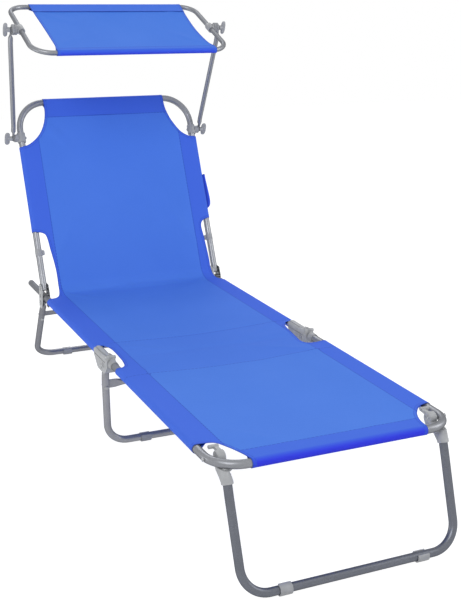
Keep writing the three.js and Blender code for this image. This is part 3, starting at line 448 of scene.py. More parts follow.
def pick(piece, test, kind="VERT"):
    """In edit mode, selects the vertices or edges that pass the test, and nothing else."""
    bpy.ops.mesh.select_all(action="DESELECT")
    bpy.ops.mesh.select_mode(type=kind)
    mesh = bmesh.from_edit_mesh(piece.data)
    for part in mesh.verts if kind == "VERT" else mesh.edges:
        if test(part):
            part.select_set(True)
    mesh.select_flush_mode()
    bmesh.update_edit_mesh(piece.data)


def span(edge, axis):
    return abs(edge.verts[0].co[axis] - edge.verts[1].co[axis])


def round_edges(piece, test, width, segments):
    """In edit mode, rounds the edges that pass the test."""
    pick(piece, test, "EDGE")
    bpy.ops.mesh.bevel(offset=width, segments=segments, affect="EDGES")


def with_modifier(piece, kind, **settings):
    only(piece)
    modifier = piece.modifiers.new(kind.lower(), kind)
    for key, value in settings.items():
        setattr(modifier, key, value)
    bpy.ops.object.modifier_apply(modifier=modifier.name)
    return piece


def softened(piece, width, angle=35):
    """Rounds the sharp edges of a piece a little, as a mould or a die leaves them."""
    limit = math.radians(angle)
    return with_modifier(piece, "BEVEL", width=width, segments=2, limit_method="ANGLE", angle_limit=limit)


def outward(piece):
    edit(piece)
    bpy.ops.mesh.remove_doubles(threshold=MERGE)
    face_outwards()
    done()
    return piece


def closed(piece):
    edit(piece)
    bpy.ops.mesh.remove_doubles(threshold=SEAM_MERGE)
    bpy.ops.mesh.fill_holes(sides=0)
    face_outwards()
    done()
    return piece


def together(*pieces):
    only(pieces[0])
    for piece in pieces:
        piece.select_set(True)
    bpy.ops.object.join()
    return pieces[0]


def combined(piece, other, operation):
    with_modifier(piece, "BOOLEAN", object=other, operation=operation, solver="EXACT")
    bpy.data.objects.remove(other)
    return piece


def cut_box(piece, low, high):
    return combined(piece, box("cutter", low, high), "DIFFERENCE")


def at(piece, place):
    """Turns or shifts a piece within the frame that it is made in."""
    only(piece)
    piece.matrix_world = place
    bpy.ops.object.transform_apply(location=True, rotation=True, scale=True)
    return piece


def mirror_of(piece, name):
    twin = piece.copy()
    twin.data = piece.data.copy()
    twin.name = name
    bpy.context.scene.collection.objects.link(twin)
    return outward(at(twin, Matrix.Scale(-1, 4, (1, 0, 0))))


def settle(piece, place, nodes, smooth=SMOOTH):
    """Takes a finished piece to its place, gives it its finish, and has it stand for its nodes."""
    at(piece, place)
    only(piece)
    bpy.ops.object.shade_smooth_by_angle(angle=math.radians(smooth))
    slot = SLOT_OF_NODE[nodes[0]]
    piece.data.materials.clear()
    word = nodes[0].removesuffix("_right").removesuffix("_left")
    piece.data.materials.append(FINISHES[OWN_FINISHES.get(word, slot)])
    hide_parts(*nodes)
    return piece


def fit(piece, place, node_name, smooth=SMOOTH):
    settle(piece, place, [node_name], smooth)
    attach(piece, BODY_OF_NODE[node_name])


def fit_pair(piece, place, name, smooth=SMOOTH):
    """Fits a piece made for the right side, and its mirror image on the left."""
    twin = mirror_of(piece, f"{piece.name}_left")
    piece.name = f"{piece.name}_right"
    fit(piece, place, f"{name}_right", smooth)
    fit(twin, place, f"{name}_left", smooth)


# Shapes
def smooth_share(value, start, end):
    """Goes smoothly from 0 at the start to 1 at the end."""
    share = min(1.0, max(0.0, (value - start) / (end - start)))
    return share * share * (3 - 2 * share)


def press(at_point, heading, radius, flat, blend, thickness, width):
    """Presses the last stretch of a tube flat: thin in its own plane, wide across it, with a round end."""
    sideways = Vector((-heading.y, heading.x, 0))
    depths = [blend * k / 6 for k in range(1, 7)] + [blend + flat * k / 2 for k in (1, 2)]
    depths += [blend + flat + width / 2 * math.sin(math.radians(a)) for a in (30, 50, 68, 80)]
    thin, wide, before = 1.0, 1.0, 0.0
    for depth in depths:
        share = smooth_share(depth, 0, blend)
        new_thin = 1 + (thickness / 2 / radius - 1) * share
        new_wide = 1 + (width / 2 / radius - 1) * share
        beyond = max(0.0, depth - blend - flat) / (width / 2)
        new_wide *= math.sqrt(1 - beyond * beyond)
        at_point = at_point + heading * (depth - before)
        extrude(heading * (depth - before))
        flatter = [new_thin / thin if abs(part) > 0.5 else 1 for part in (sideways.x, sideways.y)]
        resize((*flatter, new_wide / wide), at_point)
        thin, wide, before = new_thin, new_wide, depth


def bent_tube(name, radius, corners, pressed=None, sides=32):
    """A tube in the plane of its own x and y, made as on a bender from corners of (x, y, bend radius)."""
    degrees_a_step = 5
    points = [Vector((x, y, 0)) for x, y, _ in corners]
    heading = (points[1] - points[0]).normalized()
    upright = (-math.pi / 2, 0, math.atan2(heading.y, heading.x) - math.pi / 2)
    piece = circle(name, sides, radius, location=points[0], rotation=upright)
    edit(piece)
    here = points[0]
    for i in range(1, len(points) - 1):
        onward = (points[i + 1] - points[i]).normalized()
        turn = math.atan2(heading.cross(onward).z, heading.dot(onward))
        bend = corners[i][2]
        setback = bend * math.tan(abs(turn) / 2)
        start = points[i] - heading * setback
        extrude(start - here)
        middle = start + Vector((-heading.y, heading.x, 0)) * math.copysign(bend, turn)
        steps = max(2, round(math.degrees(abs(turn)) / degrees_a_step))
        bpy.ops.mesh.spin(steps=steps, angle=-turn, center=middle, axis=(0, 0, 1))
        heading = onward
        here = points[i] + heading * setback
    reach = 0.0 if pressed is None else pressed["flat"] + pressed["blend"]
    end = points[-1] - heading * reach
    extrude(end - here)
    if pressed:
        press(end, heading, radius, **pressed)
    done()
    return piece


def both_halves(piece):
    return with_modifier(piece, "MIRROR", use_axis=(True, False, False), merge_threshold=SEAM_MERGE)


def walled(piece):
    """Gives an open tube its wall."""
    outward(piece)
    return with_modifier(piece, "SOLIDIFY", thickness=TUBE_WALL, offset=-1, use_even_offset=True)


def turned(name, profile, sides=32, hollow=False):
    """A turned piece round the x axis, from pairs of place along the axis and radius."""
    (first, radius), rest = profile[0], profile[1:]
    piece = circle(name, sides, radius, location=(first, 0, 0), rotation=(0, math.pi / 2, 0))
    edit(piece)
    for place, wide in rest:
        extrude((place - first, 0, 0))
        resize((1, wide / radius, wide / radius), (place, 0, 0))
        first, radius = place, wide
    bpy.ops.mesh.select_all(action="SELECT")
    bpy.ops.mesh.remove_doubles(threshold=MERGE)
    if not hollow:
        bpy.ops.mesh.fill_holes(sides=0)
    face_outwards()
    done()
    return piece


def lofted(name, rings, sides=36):
    """A closed piece up the z axis from rings of (height, half width in x, half width in y, centre x, y)."""
    z, wide, deep, x, y = rings[0]
    piece = circle(name, sides, location=(x, y, z))
    edit(piece)
    resize((wide, deep, 1), (x, y, z))
    for height, wider, deeper, new_x, new_y in rings[1:]:
        extrude((new_x - x, new_y - y, height - z))
        resize((wider / wide, deeper / deep, 1), (new_x, new_y, height))
        z, wide, deep, x, y = height, wider, deeper, new_x, new_y
    bpy.ops.mesh.select_all(action="SELECT")
    bpy.ops.mesh.fill_holes(sides=0)
    face_outwards()
    done()
    return piece


def ring(name, inner, outer, low, high, edge=0.6):
    """A plain collar round the x axis with softened edges."""
    part = edge * 0.3
    rim = [(low, outer - edge), (low + part, outer - part), (low + edge, outer)]
    rim += [(high - edge, outer), (high - part, outer - part), (high, outer - edge)]
    return turned(name, [(low, inner), *rim, (high, inner), (low, inner)], hollow=True)


def plate(name, outline, thickness, corner=0.0, edge=0.5):
    """A flat plate in x and y from its outline, extruded upwards, with rounded corners and softened edges."""
    piece = circle(name, len(outline), fill_type="NGON")
    for vertex, (x, y) in zip(piece.data.vertices, outline):
        vertex.co = (x, y, 0)
    edit(piece)
    extrude((0, 0, thickness))
    face_outwards()
    if corner > 0:
        round_edges(piece, lambda e: span(e, 2) > thickness / 2, corner, 4)
    done()
    return softened(piece, edge)


Y_AXIS = Matrix.Rotation(math.pi / 2, 4, "Z")
# Takes a piece drawn in x and y to the plane of y and z, and what it has along z to x
SIDEWAYS = Matrix(((0, 0, 1, 0), (1, 0, 0, 0), (0, 1, 0, 0), (0, 0, 0, 1)))


def side_plate(name, outline, x, thickness, **settings):
    """A plate that stands in the plane of y and z, from x outwards."""
    return at(plate(name, outline, thickness, **settings), moved(x, 0, 0) @ SIDEWAYS)


def rounded_pin(name, low, high, radius, head, height, sides=24):
    """A pin along x with a domed head on each side."""
    dome = [(0.0, 1.0), (0.45, 0.94), (0.8, 0.72), (1.0, 0.3)]
    left = [(low - height * h, head * w) for h, w in reversed(dome)]
    right = [(high + height * h, head * w) for h, w in dome]
    return turned(name, left + [(low, radius), (high, radius)] + right, sides)


# The frame tubes
seat_tube = bent_tube("seat_rail", TUBE, [(SIDE_X, SEAT_TUBE_START, 0), (SIDE_X, SEAT_LENGTH + SEAT_STUB, 0)])
fit_pair(walled(seat_tube), SEAT @ moved(0, 0, SEAT_Z), "seat_tube")

corners = [(0, -FOOT_LENGTH, 0), (SIDE_X, -FOOT_LENGTH, FOOT_BEND), (SIDE_X, FOOT_TUBE_END, 0)]
foot_hoop = walled(both_halves(bent_tube("foot_hoop", TUBE, corners)))
fit(foot_hoop, FOOT @ moved(0, 0, -PIN_RISE), "foot_frame")

corners = [(0, BACK_LENGTH, 0), (SIDE_X, BACK_LENGTH, BACK_BEND), (SIDE_X, BACK_TUBE_START, 0)]
fit(walled(both_halves(bent_tube("back_hoop", TUBE, corners))), BACK, "back_frame")

# Ends pressed flat, with the length of the flat part and of the way into it
EYE = {"flat": 13, "blend": 9, "thickness": 8, "width": 22}
BRACE_END = {"flat": 20, "blend": 32, "thickness": 4, "width": 25.5}
ARM_END = {"flat": 13.5, "blend": 12, "thickness": 2 * ARM_HALF_THICK, "width": 17}
BRACE_HALF_THICK = BRACE_END["thickness"] / 2
BRACE_Y = TUBE + CLEARANCE + BRACE_HALF_THICK
UPRIGHT = turned_x(math.pi / 2)
# Radius, head radius and head height of a rivet
SMALL_RIVET = (3, 5.5, 1.6)
LARGE_RIVET = (4, 7, 2)


def post_x(depth, length):
    return SIDE_X - LEG_INSET * (depth - KNEE_DEPTH) / (length - KNEE_DEPTH)


def add_leg(name, leg, place):
    """A bent leg with pressed eyes, its brace, and the rivets through both."""
    length = length_of(leg)
    bar = (SIDE_X - LEG_INSET, -length, BAR_BEND)
    corners = [(0, -length, 0), bar, (SIDE_X, -KNEE_DEPTH, KNEE_BEND), (SIDE_X, 0, 0)]
    hoop = bent_tube(f"{name}_leg_hoop", TUBE, corners, pressed=EYE)
    fit(closed(both_halves(hoop)), place @ UPRIGHT, f"{name}_leg")
    depth = (LEG_PIVOT_Z - BRACE_Z) / math.cos(lean_of(leg))
    rivet_x = post_x(depth, length)
    brace_ends = [(0, 0, 0), (rivet_x - BRACE_SETBACK, 0, 0)]
    brace = bent_tube(f"{name}_leg_brace", SLIM, brace_ends, pressed=BRACE_END)
    fit(closed(both_halves(brace)), place @ moved(0, BRACE_Y, -depth), f"{name}_brace")
    back = BRACE_Y + BRACE_HALF_THICK + CLEARANCE
    rivet = rounded_pin(f"{name}_rivet", -TUBE - CLEARANCE, back, *SMALL_RIVET)
    fit_pair(at(rivet, moved(rivet_x, 0, -depth) @ Y_AXIS), place, f"{name}_brace_rivet")


add_leg("mid", MID_LEG, MID)
add_leg("rear", REAR_LEG, REAR)


def in_front_leg(y, z):
    return turned_x(-FRONT_LEAN) @ Vector((0, -y + FRONT_PIVOT, z - SEAT_Z))


front_top = in_front_leg(*FRONT_TOP)
front_bar = in_front_leg(FRONT_BAR_Y, BAR_HEIGHT)
knee, head_reach = 25, 12
corners = [
    (0, front_bar.z, 0),
    (FRONT_BAR_X, front_bar.z, BAR_BEND),
    (FRONT_TOP_X, front_top.z - knee, KNEE_BEND),
    (FRONT_TOP_X, front_top.z + head_reach, 0),
]
front_hoop = closed(both_halves(bent_tube("front_leg_hoop", TUBE, corners)))
fit(front_hoop, FRONT @ moved(0, front_bar.y, 0) @ UPRIGHT, "front_leg")

corners = [
    (0, -LOOP_FRONT, 0),
    (LOOP_X, -LOOP_FRONT, LOOP_FRONT_BEND),
    (LOOP_X, LOOP_REAR, LOOP_REAR_BEND),
    (0, LOOP_REAR, 0),
]
fit(outward(both_halves(bent_tube("canopy_hoop", SLIM, corners, sides=28))), CANOPY, "canopy_loop")

half_way = ((ARM_LOW_X + ARM_HIGH_X) / 2, ARM_LENGTH / 2, 0)
arm_halves = [
    bent_tube(name, SLIM, [half_way, (x, bend_y, ARM_BEND), (x, end_y, 0)], ARM_END, 28)
    for name, x, bend_y, end_y in (
        ("arm", ARM_HIGH_X, ARM_LENGTH - ARM_STRAIGHT, ARM_LENGTH),
        ("arm_low", ARM_LOW_X, ARM_STRAIGHT, 0),
    )
]
fit_pair(closed(together(*arm_halves)), ARMS, "canopy_arm")


# Plastic feet: a clip spun round the bar and cut flat where it stands
def foot_clip(name, mouth):
    """A clip with its opening, of 104 degrees, towards the angle of its mouth."""
    wall, width, opening = 3.2, 28, 104
    middle = (0, BORE + wall / 2, 0)
    bpy.ops.object.select_all(action="DESELECT")
    bpy.ops.mesh.primitive_plane_add(size=1, location=middle)
    piece = named(name)
    edit(piece)
    resize((width, wall, 1), middle)
    done()
    at(piece, turned_x(math.radians(mouth + opening / 2)))
    edit(piece)
    sweep = math.radians(360 - opening)
    bpy.ops.mesh.spin(steps=36, angle=-sweep, center=(0, 0, 0), axis=(1, 0, 0))
    bpy.ops.mesh.select_all(action="SELECT")
    bpy.ops.mesh.remove_doubles(threshold=MERGE)
    bpy.ops.mesh.normals_make_consistent(inside=False)
    bpy.ops.mesh.bisect(plane_co=(0, 0, -BAR_HEIGHT), plane_no=(0, 0, -1), use_fill=True, clear_outer=True)
    face_outwards()
    done()
    return softened(piece, 0.7)


for name, place, lean, y, z in (
    ("mid", MID, lean_of(MID_LEG), 0, -length_of(MID_LEG)),
    ("rear", REAR, lean_of(REAR_LEG), 0, -length_of(REAR_LEG)),
    ("front", FRONT, FRONT_LEAN, front_bar.y, front_bar.z),
):
    for side, word in ((1, "right"), (-1, "left")):
        mouth = 20 if name == "front" and side < 0 else 90
        clip = foot_clip(f"{name}_clip_{word}", mouth)
        fit(clip, place @ moved(side * FOOT_X, y, z) @ turned_x(-lean), f"{name}_foot_{word}")


# Moulded shells of the middle hinge
def hinge_shell():
    """A block over the seat tube's front end, with an ear round the pin and a slot for the knuckle."""
    reach = WIDE_BORE + SHELL_WALL
    left, right = SIDE_X - reach, SIDE_X + reach
    front, rear, low, top = -9, 100, SEAT_Z - 34, SEAT_Z + reach
    shell = box("mid_shell", (left, front, low), (right, rear, top))
    edit(shell)
    # Its lower side slopes up from the part round the leg's pivot to both ends
    for end, corner, height in ((front, 27, SEAT_Z - reach), (rear, 54, SEAT_Z - 3)):
        rise = math.copysign(height - low, end)
        normal = Vector((0, rise, -abs(end - corner)))
        bpy.ops.mesh.select_all(action="SELECT")
        bpy.ops.mesh.bisect(plane_co=(0, end, height), plane_no=normal, use_fill=True, clear_outer=True)
    round_edges(shell, lambda e: span(e, 0) > reach and max(v.co.z for v in e.verts) < SEAT_Z, 7, 5)
    roof = top - 0.1
    round_edges(shell, lambda e: span(e, 1) > 50 and min(v.co.z for v in e.verts) > roof, reach - 0.3, 10)
    done()
    ear = turned("ear", [(left, 4.4), (left + 0.5, 4.9), (right - 0.5, 4.9), (right, 4.4)])
    combined(shell, at(ear, moved(0, 0, PIN_Z)), "UNION")
    slope = [(-6, SEAT_Z), (-6, PIN_Z), (0, PIN_Z), (4, PIN_Z + 2.6), (36, top - 0.4), (44, SEAT_Z)]
    combined(shell, side_plate("slope", slope, left + 0.01, 2 * reach - 0.02, edge=3.5), "UNION")
    # The channel for the tube is open below
    channel = turned("channel", [(12, WIDE_BORE), (140, WIDE_BORE)], 48)
    combined(shell, at(channel, moved(SIDE_X, 0, SEAT_Z) @ Y_AXIS), "DIFFERENCE")
    cut_box(shell, (SIDE_X - WIDE_BORE, 12, SEAT_Z - 90), (SIDE_X + WIDE_BORE, 140, SEAT_Z - 0.01))
    slot = 4.3
    cut_box(shell, (SIDE_X - slot, -30, PIN_Z - 7.3), (SIDE_X + slot, 0, PIN_Z + 20))
    cut_box(shell, (SIDE_X - slot, -0.5, PIN_Z - 0.3), (SIDE_X + slot, 16, PIN_Z + 20))
    # Two grooves along the roof, and one along and two upright ones on each side
    for middle in (SIDE_X - 6.5, SIDE_X + 6.5):
        cut_box(shell, (middle - 1.3, 8, SEAT_Z + 9), (middle + 1.3, 110, SEAT_Z + 30))
    for y_low, y_high, z_low, z_high in ((8, 110, -3.2, -0.4), (15, 18.5, -18, -6), (25, 28.5, -18, -6)):
        for face in (left, right):
            cut_box(shell, (face - 1.9, y_low, SEAT_Z + z_low), (face + 1.9, y_high, SEAT_Z + z_high))
    return outward(softened(shell, 0.5))


fit_pair(hinge_shell(), SEAT, "mid_hinge_shell", FITTING_SMOOTH)


def hinge_knuckle():
    """A capped socket on the foot tube, with a tongue to its eye on the pin and a stop below."""
    outer = BORE + 2.0
    thick = 8
    profile = [(-34, BORE), (-34, outer - 1.2), (-33.2, outer - 0.6), (-15, outer), (-14.2, outer - 0.5)]
    profile += [(-14, outer - 1.2), (-14, 0.5), (-16, 0.5), (-16, BORE), (-34, BORE)]
    barrel = at(turned("mid_knuckle", profile, 40, hollow=True), moved(SIDE_X, 0, -PIN_RISE) @ Y_AXIS)
    tongue = [(-15, -5.8), (0, -5.8), (0, -3.4), (-4, -1), (-15, -1)]
    tongue = side_plate("tongue", tongue, SIDE_X - thick / 2, thick, edge=0.4)
    eye = at(ring("eye", 3.3, 5.3, -thick / 2, thick / 2), moved(SIDE_X, 0, 0))
    low = -PIN_RISE - outer
    stop = [(-22, low - 5), (-14, low - 5), (-14, low + 2), (-22, low + 2)]
    stop = side_plate("stop", stop, SIDE_X - thick / 2, thick, corner=1.5)
    return together(barrel, tongue, eye, stop)


fit_pair(hinge_knuckle(), FOOT, "mid_hinge_knuckle", FITTING_SMOOTH)

# Pins, rivets and bolts
SHELL_HALF = WIDE_BORE + SHELL_WALL + CLEARANCE
BRACKET_HALF = WIDE_BORE + BRACKET_WALL + CLEARANCE
for name, half, y, z, sizes in (
    ("mid_hinge_pin", SHELL_HALF, 0, PIN_Z, (3.0, 4.3, 1.4)),
    ("mid_leg_pin", SHELL_HALF, MID_LEG[0], LEG_PIVOT_Z, LARGE_RIVET),
    ("back_pivot_pin", BRACKET_HALF, SEAT_LENGTH, BACK_PIVOT_Z, LARGE_RIVET),
    ("rear_leg_pin", BRACKET_HALF, REAR_LEG[0], LEG_PIVOT_Z, LARGE_RIVET),
    ("bracket_rivet", BRACKET_HALF, REAR_LEG[0], SEAT_Z, SMALL_RIVET),
):
    made = rounded_pin(f"{name}_turned", SIDE_X - half, SIDE_X + half, *sizes)
    fit_pair(at(made, moved(0, y, z)), SEAT, name)

HEAD_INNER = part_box("front_leg_head_right")[0][0] / MM
HEAD_WIDTH = 18.5
HEAD_OUTER = HEAD_INNER + HEAD_WIDTH
bolt = rounded_pin("front_bolt", HEAD_INNER - CLEARANCE, SIDE_X + TUBE, 4, 4.6, 1.0)
fit_pair(at(bolt, moved(0, -FRONT_PIVOT, -PIN_RISE)), FOOT, "front_leg_bolt")


# Pressed brackets of the rear hinge
def rear_bracket():
    """Two cheeks with a web between them in front of the back's pivot."""
    leg_y, pivot_y, front = REAR_LEG[0], SEAT_LENGTH, SEAT_LENGTH - 24.5
    shoulder, web_z = SEAT_Z - TUBE / 3, SEAT_Z + TUBE + CLEARANCE
    outline = [
        (pivot_y - 12, BACK_PIVOT_Z + 12),
        (front, SEAT_Z + TUBE + 3.2),
        (front, shoulder),
        (leg_y - 15, LEG_PIVOT_Z - 15),
        (leg_y + 12, LEG_PIVOT_Z - 15),
        (leg_y + 12, shoulder),
        (pivot_y + 12, BACK_PIVOT_Z + 12),
    ]
    inner_x = SIDE_X - WIDE_BORE - BRACKET_WALL
    inner = side_plate("rear_bracket", outline, inner_x, BRACKET_WALL, corner=5, edge=0.35)
    outer = side_plate("cheek_out", outline, SIDE_X + WIDE_BORE, BRACKET_WALL, corner=5, edge=0.35)
    half = WIDE_BORE + 1.2
    web = box("web", (SIDE_X - half, front + 0.4, web_z), (SIDE_X + half, front + 11, web_z + BRACKET_WALL))
    return together(inner, outer, softened(web, 0.4))


fit_pair(rear_bracket(), SEAT, "rear_hinge_bracket", FITTING_SMOOTH)

# Plugs in the rear ends of the seat tubes
profile = [(-14, 8), (0, 8), (0, 9.2), (0.4, 9.5), (2, 9.5), (2.4, 9.2), (3.1, 7.4), (3.6, 4), (3.7, 0.6)]
plug = at(turned("rail_plug", profile), moved(SIDE_X, SEAT_LENGTH + SEAT_STUB + CLEARANCE, SEAT_Z) @ Y_AXIS)
fit_pair(plug, SEAT, "seat_tube_plug", FITTING_SMOOTH)


# Moulded heads of the front leg
def front_head():
    """A socket on the leg's end, drawn out to a lobe round the bolt, with a finger that stops the leg."""
    socket = BORE + 2.8
    low, top = front_top.z + 1, front_top.z + 48
    x, y = FRONT_TOP_X, front_top.y
    level = turned_x(-FRONT_LEAN)
    upward = level @ Vector((0, 0, 1))
    # A tapered block, round at the socket and drawn out backwards to the lobe, cut off under the bent tube
    block = lofted(
        "front_head",
        [
            (low + 20, 0.5, 0.5, x, y),
            (low + 20, BORE, BORE, x, y),
            (low, BORE, BORE, x, y),
            (low, socket - 0.7, socket - 0.7, x, y),
            (low + 0.8, socket, socket, x, y),
            (low + 6, socket, socket + 1, x, y + 0.8),
            (low + 13, socket - 0.5, socket + 4.5, x + 0.4, y + 4),
            (low + 21, socket - 1.5, socket + 9, x + 1.2, y + 8.6),
            (low + 29, socket - 2.4, socket + 13, x + 1.9, y + 13),
            (top, socket - 2.6, socket + 15, x + 2.1, y + 15),
        ],
    )
    edit(block)
    bpy.ops.mesh.bisect(plane_co=upward * (-TUBE - 1), plane_no=upward, use_fill=True, clear_outer=True)
    done()
    softened(block, 0.9, angle=50)
    lobe = [(HEAD_INNER, 12.4), (HEAD_INNER + 1.4, 14), (HEAD_OUTER - 1.4, 14), (HEAD_OUTER, 12.4)]
    lobe = turned("lobe", lobe, 40)
    arm = [(12.6, -1), (-11, -8), (y - 8, -TUBE - 13), (y + 4, -TUBE - 20), (6, -TUBE - 16), (12, -8)]
    arm = side_plate("arm", arm, HEAD_INNER + 0.3, HEAD_WIDTH - 0.5, corner=2.5, edge=0.8)
    stalk = plate("stalk", [(4, 3), (32, 6), (32, 12.4), (0, 12.4)], 9, corner=2.4, edge=0.8)
    at(stalk, level @ moved(HEAD_INNER + 2, 0, 0) @ SIDEWAYS)
    finger = [(HEAD_INNER, 3.6), (HEAD_INNER + 0.8, 4.4), (HEAD_OUTER + 3, 4.4), (HEAD_OUTER + 4, 3.4)]
    finger = at(turned("finger", finger, 20), level @ moved(0, 28, 11))
    return outward(together(block, lobe, arm, stalk, finger))


fit_pair(front_head(), FRONT, "front_leg_head", FITTING_SMOOTH)

# Small catches on the back tubes
catch = at(ring("back_clip", BORE, BORE + 0.8, 98, 117, 0.3), moved(SIDE_X, 0, 0) @ Y_AXIS)
tab = plate("tab", [(-18, 100), (-9.9, 98.5), (-9.9, 115.5), (-18, 114)], 4, corner=2.5, edge=0.6)
fit_pair(together(catch, at(tab, moved(SIDE_X, 0, -2))), BACK, "back_catch", FITTING_SMOOTH)

# Clamps of the canopy arms
CLAMP_HALF = 15
DISC_RADIUS = 15
DISC_SIDES = 48


def low_clamp():
    """A collar on the back tube with a grooved boss towards the arm and a screw on the inside."""
    outer = BORE + 3
    hoop = ring("low_clamp", BORE, outer, ARM_PLACE - CLAMP_HALF, ARM_PLACE + CLAMP_HALF, 1.2)
    at(hoop, moved(SIDE_X, 0, 0) @ Y_AXIS)
    face = ARM_LOW_X - ARM_HALF_THICK - CLEARANCE
    boss = [(SIDE_X + 9, 11), (face - 5, 12), (face - 3.4, 12), (face - 3, 10.6), (face - 2.4, 12)]
    boss = turned("boss", boss + [(face - 0.5, 12), (face, 11.5)], 36)
    screw = turned("screw", [(-outer - 3, 2.4), (-outer - 2.4, 3.6), (-outer - 1.6, 4), (-outer + 1, 4)], 20)
    return together(hoop, at(boss, moved(0, ARM_PLACE, 0)), at(screw, moved(SIDE_X, ARM_PLACE, 0)))


def toothed(piece, low, high, depth):
    """Cuts shallow teeth in the rim of a disc by drawing in every other line of it."""
    core = 12

    def between(vertex):
        x, y, z = vertex.co
        step = round(math.atan2(z, y) / (2 * math.pi) * DISC_SIDES)
        return low < x < high and step % 2 == 1 and math.hypot(y, z) > core

    edit(piece)
    pick(piece, between)
    size = 1 - depth / DISC_RADIUS
    resize((1, size, size), (0, 0, 0))
    done()
    return piece


def high_clamp():
    """A collar on the canopy's loop with two toothed discs towards the arm."""
    inner, outer = SLIM + CLEARANCE, SLIM + CLEARANCE + 3.6
    hoop = ring("high_clamp", inner, outer, -CLAMP_HALF, CLAMP_HALF, 1.2)
    at(hoop, moved(LOOP_X, 0, 0) @ Y_AXIS)
    face = ARM_HIGH_X - ARM_HALF_THICK - CLEARANCE
    start = LOOP_X + outer + CLEARANCE
    middle = (start + face) / 2
    near_disc = [(start, 14.4), (start + 0.6, DISC_RADIUS), (middle - 1, DISC_RADIUS), (middle - 0.6, 13.6)]
    far_disc = [(middle + 0.6, 13.6), (middle + 1, DISC_RADIUS), (face - 0.6, DISC_RADIUS), (face, 14.4)]
    profile = [(LOOP_X + 6, 11.6), (start, 11.6)] + near_disc + far_disc
    discs = turned("discs", profile, DISC_SIDES)
    return together(hoop, toothed(discs, start - 0.2, face + 0.2, 1.5))


fit_pair(low_clamp(), BACK, "arm_clamp", FITTING_SMOOTH)
fit_pair(high_clamp(), CANOPY, "loop_clamp", FITTING_SMOOTH)


# Wing knobs: a thick oval wing, drawn in at its ends, on a stem over its bolt
def wing_knob(name, depth):
    face = ARM_HALF_THICK + CLEARANCE
    end = face + 8
    swell = [(0, 0.72), (0.1, 0.88), (0.28, 0.98), (0.5, 1), (0.72, 0.97), (0.9, 0.85), (1, 0.66)]
    rings = [(end + share * depth, 20.5 * size, 4 * (0.5 + size / 2), 0, 0) for share, size in swell]
    wing = at(lofted("wing", rings), SIDEWAYS)
    tip = end + depth / 3
    stem = turned(name, [(face, 6), (face + 0.6, 7), (end - 2, 7), (end, 6.2), (tip, 5.4), (tip + 1, 4)], 28)
    bolt = turned("bolt", [(-face - 8, 2.4), (-face - 7.4, 3), (face + 1, 3)], 20)
    return together(stem, wing, bolt)


for name, depth, x, y in (("lower_knob", 15, ARM_LOW_X, 0), ("upper_knob", 12, ARM_HIGH_X, ARM_LENGTH)):
    fit_pair(at(wing_knob(f"{name}_wing", depth), moved(x, y, 0)), ARMS, name, FITTING_SMOOTH)


# Cloth: each piece is a flat cut, sliced into a grid, and laid over its tubes
def wrap(reach, radius, gap=1.2):
    """How cloth goes round a tube and back to its hem under the sheet: end angle, arc and straight run."""
    far = math.hypot(reach, radius - gap)
    end = 2 * math.pi - math.atan2(reach, radius - gap) - math.acos(radius / far)
    return end, end * radius, math.sqrt(far * far - radius * radius)


def round_tube(beyond, radius, reach):
    """The place past a tube's axis and the height under the sheet of cloth that goes on past the axis."""
    end, arc, _ = wrap(reach, radius)
    angle = min(beyond / radius, end)
    rest = max(0.0, beyond - arc)
    out = radius * math.sin(angle) + math.cos(angle) * rest
    down = radius * (math.cos(angle) - 1) - math.sin(angle) * rest
    return out, down


def curve_through(points, steps=6):
    """A smooth line through the given places."""
    places = [Vector(p) for p in points]
    places = [2 * places[0] - places[1], *places, 2 * places[-1] - places[-2]]
    made = []
    for i in range(1, len(places) - 2):
        a, b, c, d = places[i - 1 : i + 3]
        squared, cubed = 2 * a - 5 * b + 4 * c - d, 3 * b - a - 3 * c + d
        for k in range(steps):
            t = k / steps
            made.append(0.5 * (2 * b + (c - a) * t + squared * t**2 + cubed * t**3))
    made.append(places[-2])
    return [tuple(p) for p in made]


def stations(low, high, step, fine=()):
    """Grid lines at a plain step, and finer ones within the given stretches."""
    lines = set()
    for start, end, size in ((low, high, step), *fine):
        lines |= set(np.round(np.linspace(start, end, max(2, round((end - start) / size)) + 1), 3))
    return sorted(lines)


def distance_to(flat, line):
    """The distance of each flat place from a closed line."""
    starts = np.array(line)
    best = np.full(len(flat), 1e9)
    for a, d in zip(starts, np.roll(starts, -1, axis=0) - starts):
        share = np.clip(((flat - a) @ d) / max(d @ d, 1e-9), 0, 1)
        best = np.minimum(best, np.linalg.norm(flat - a - share[:, None] * d, axis=1))
    return best


FAR = 1e3
HEM_WIDTH = 9
# Places of the cut closer than this become one
CUT_MERGE = 0.2
# Past the hem the cloth thins at the rate of its whole thickness in 8 mm, down to this share of it
THINNING = 8
SINGLE = 0.55


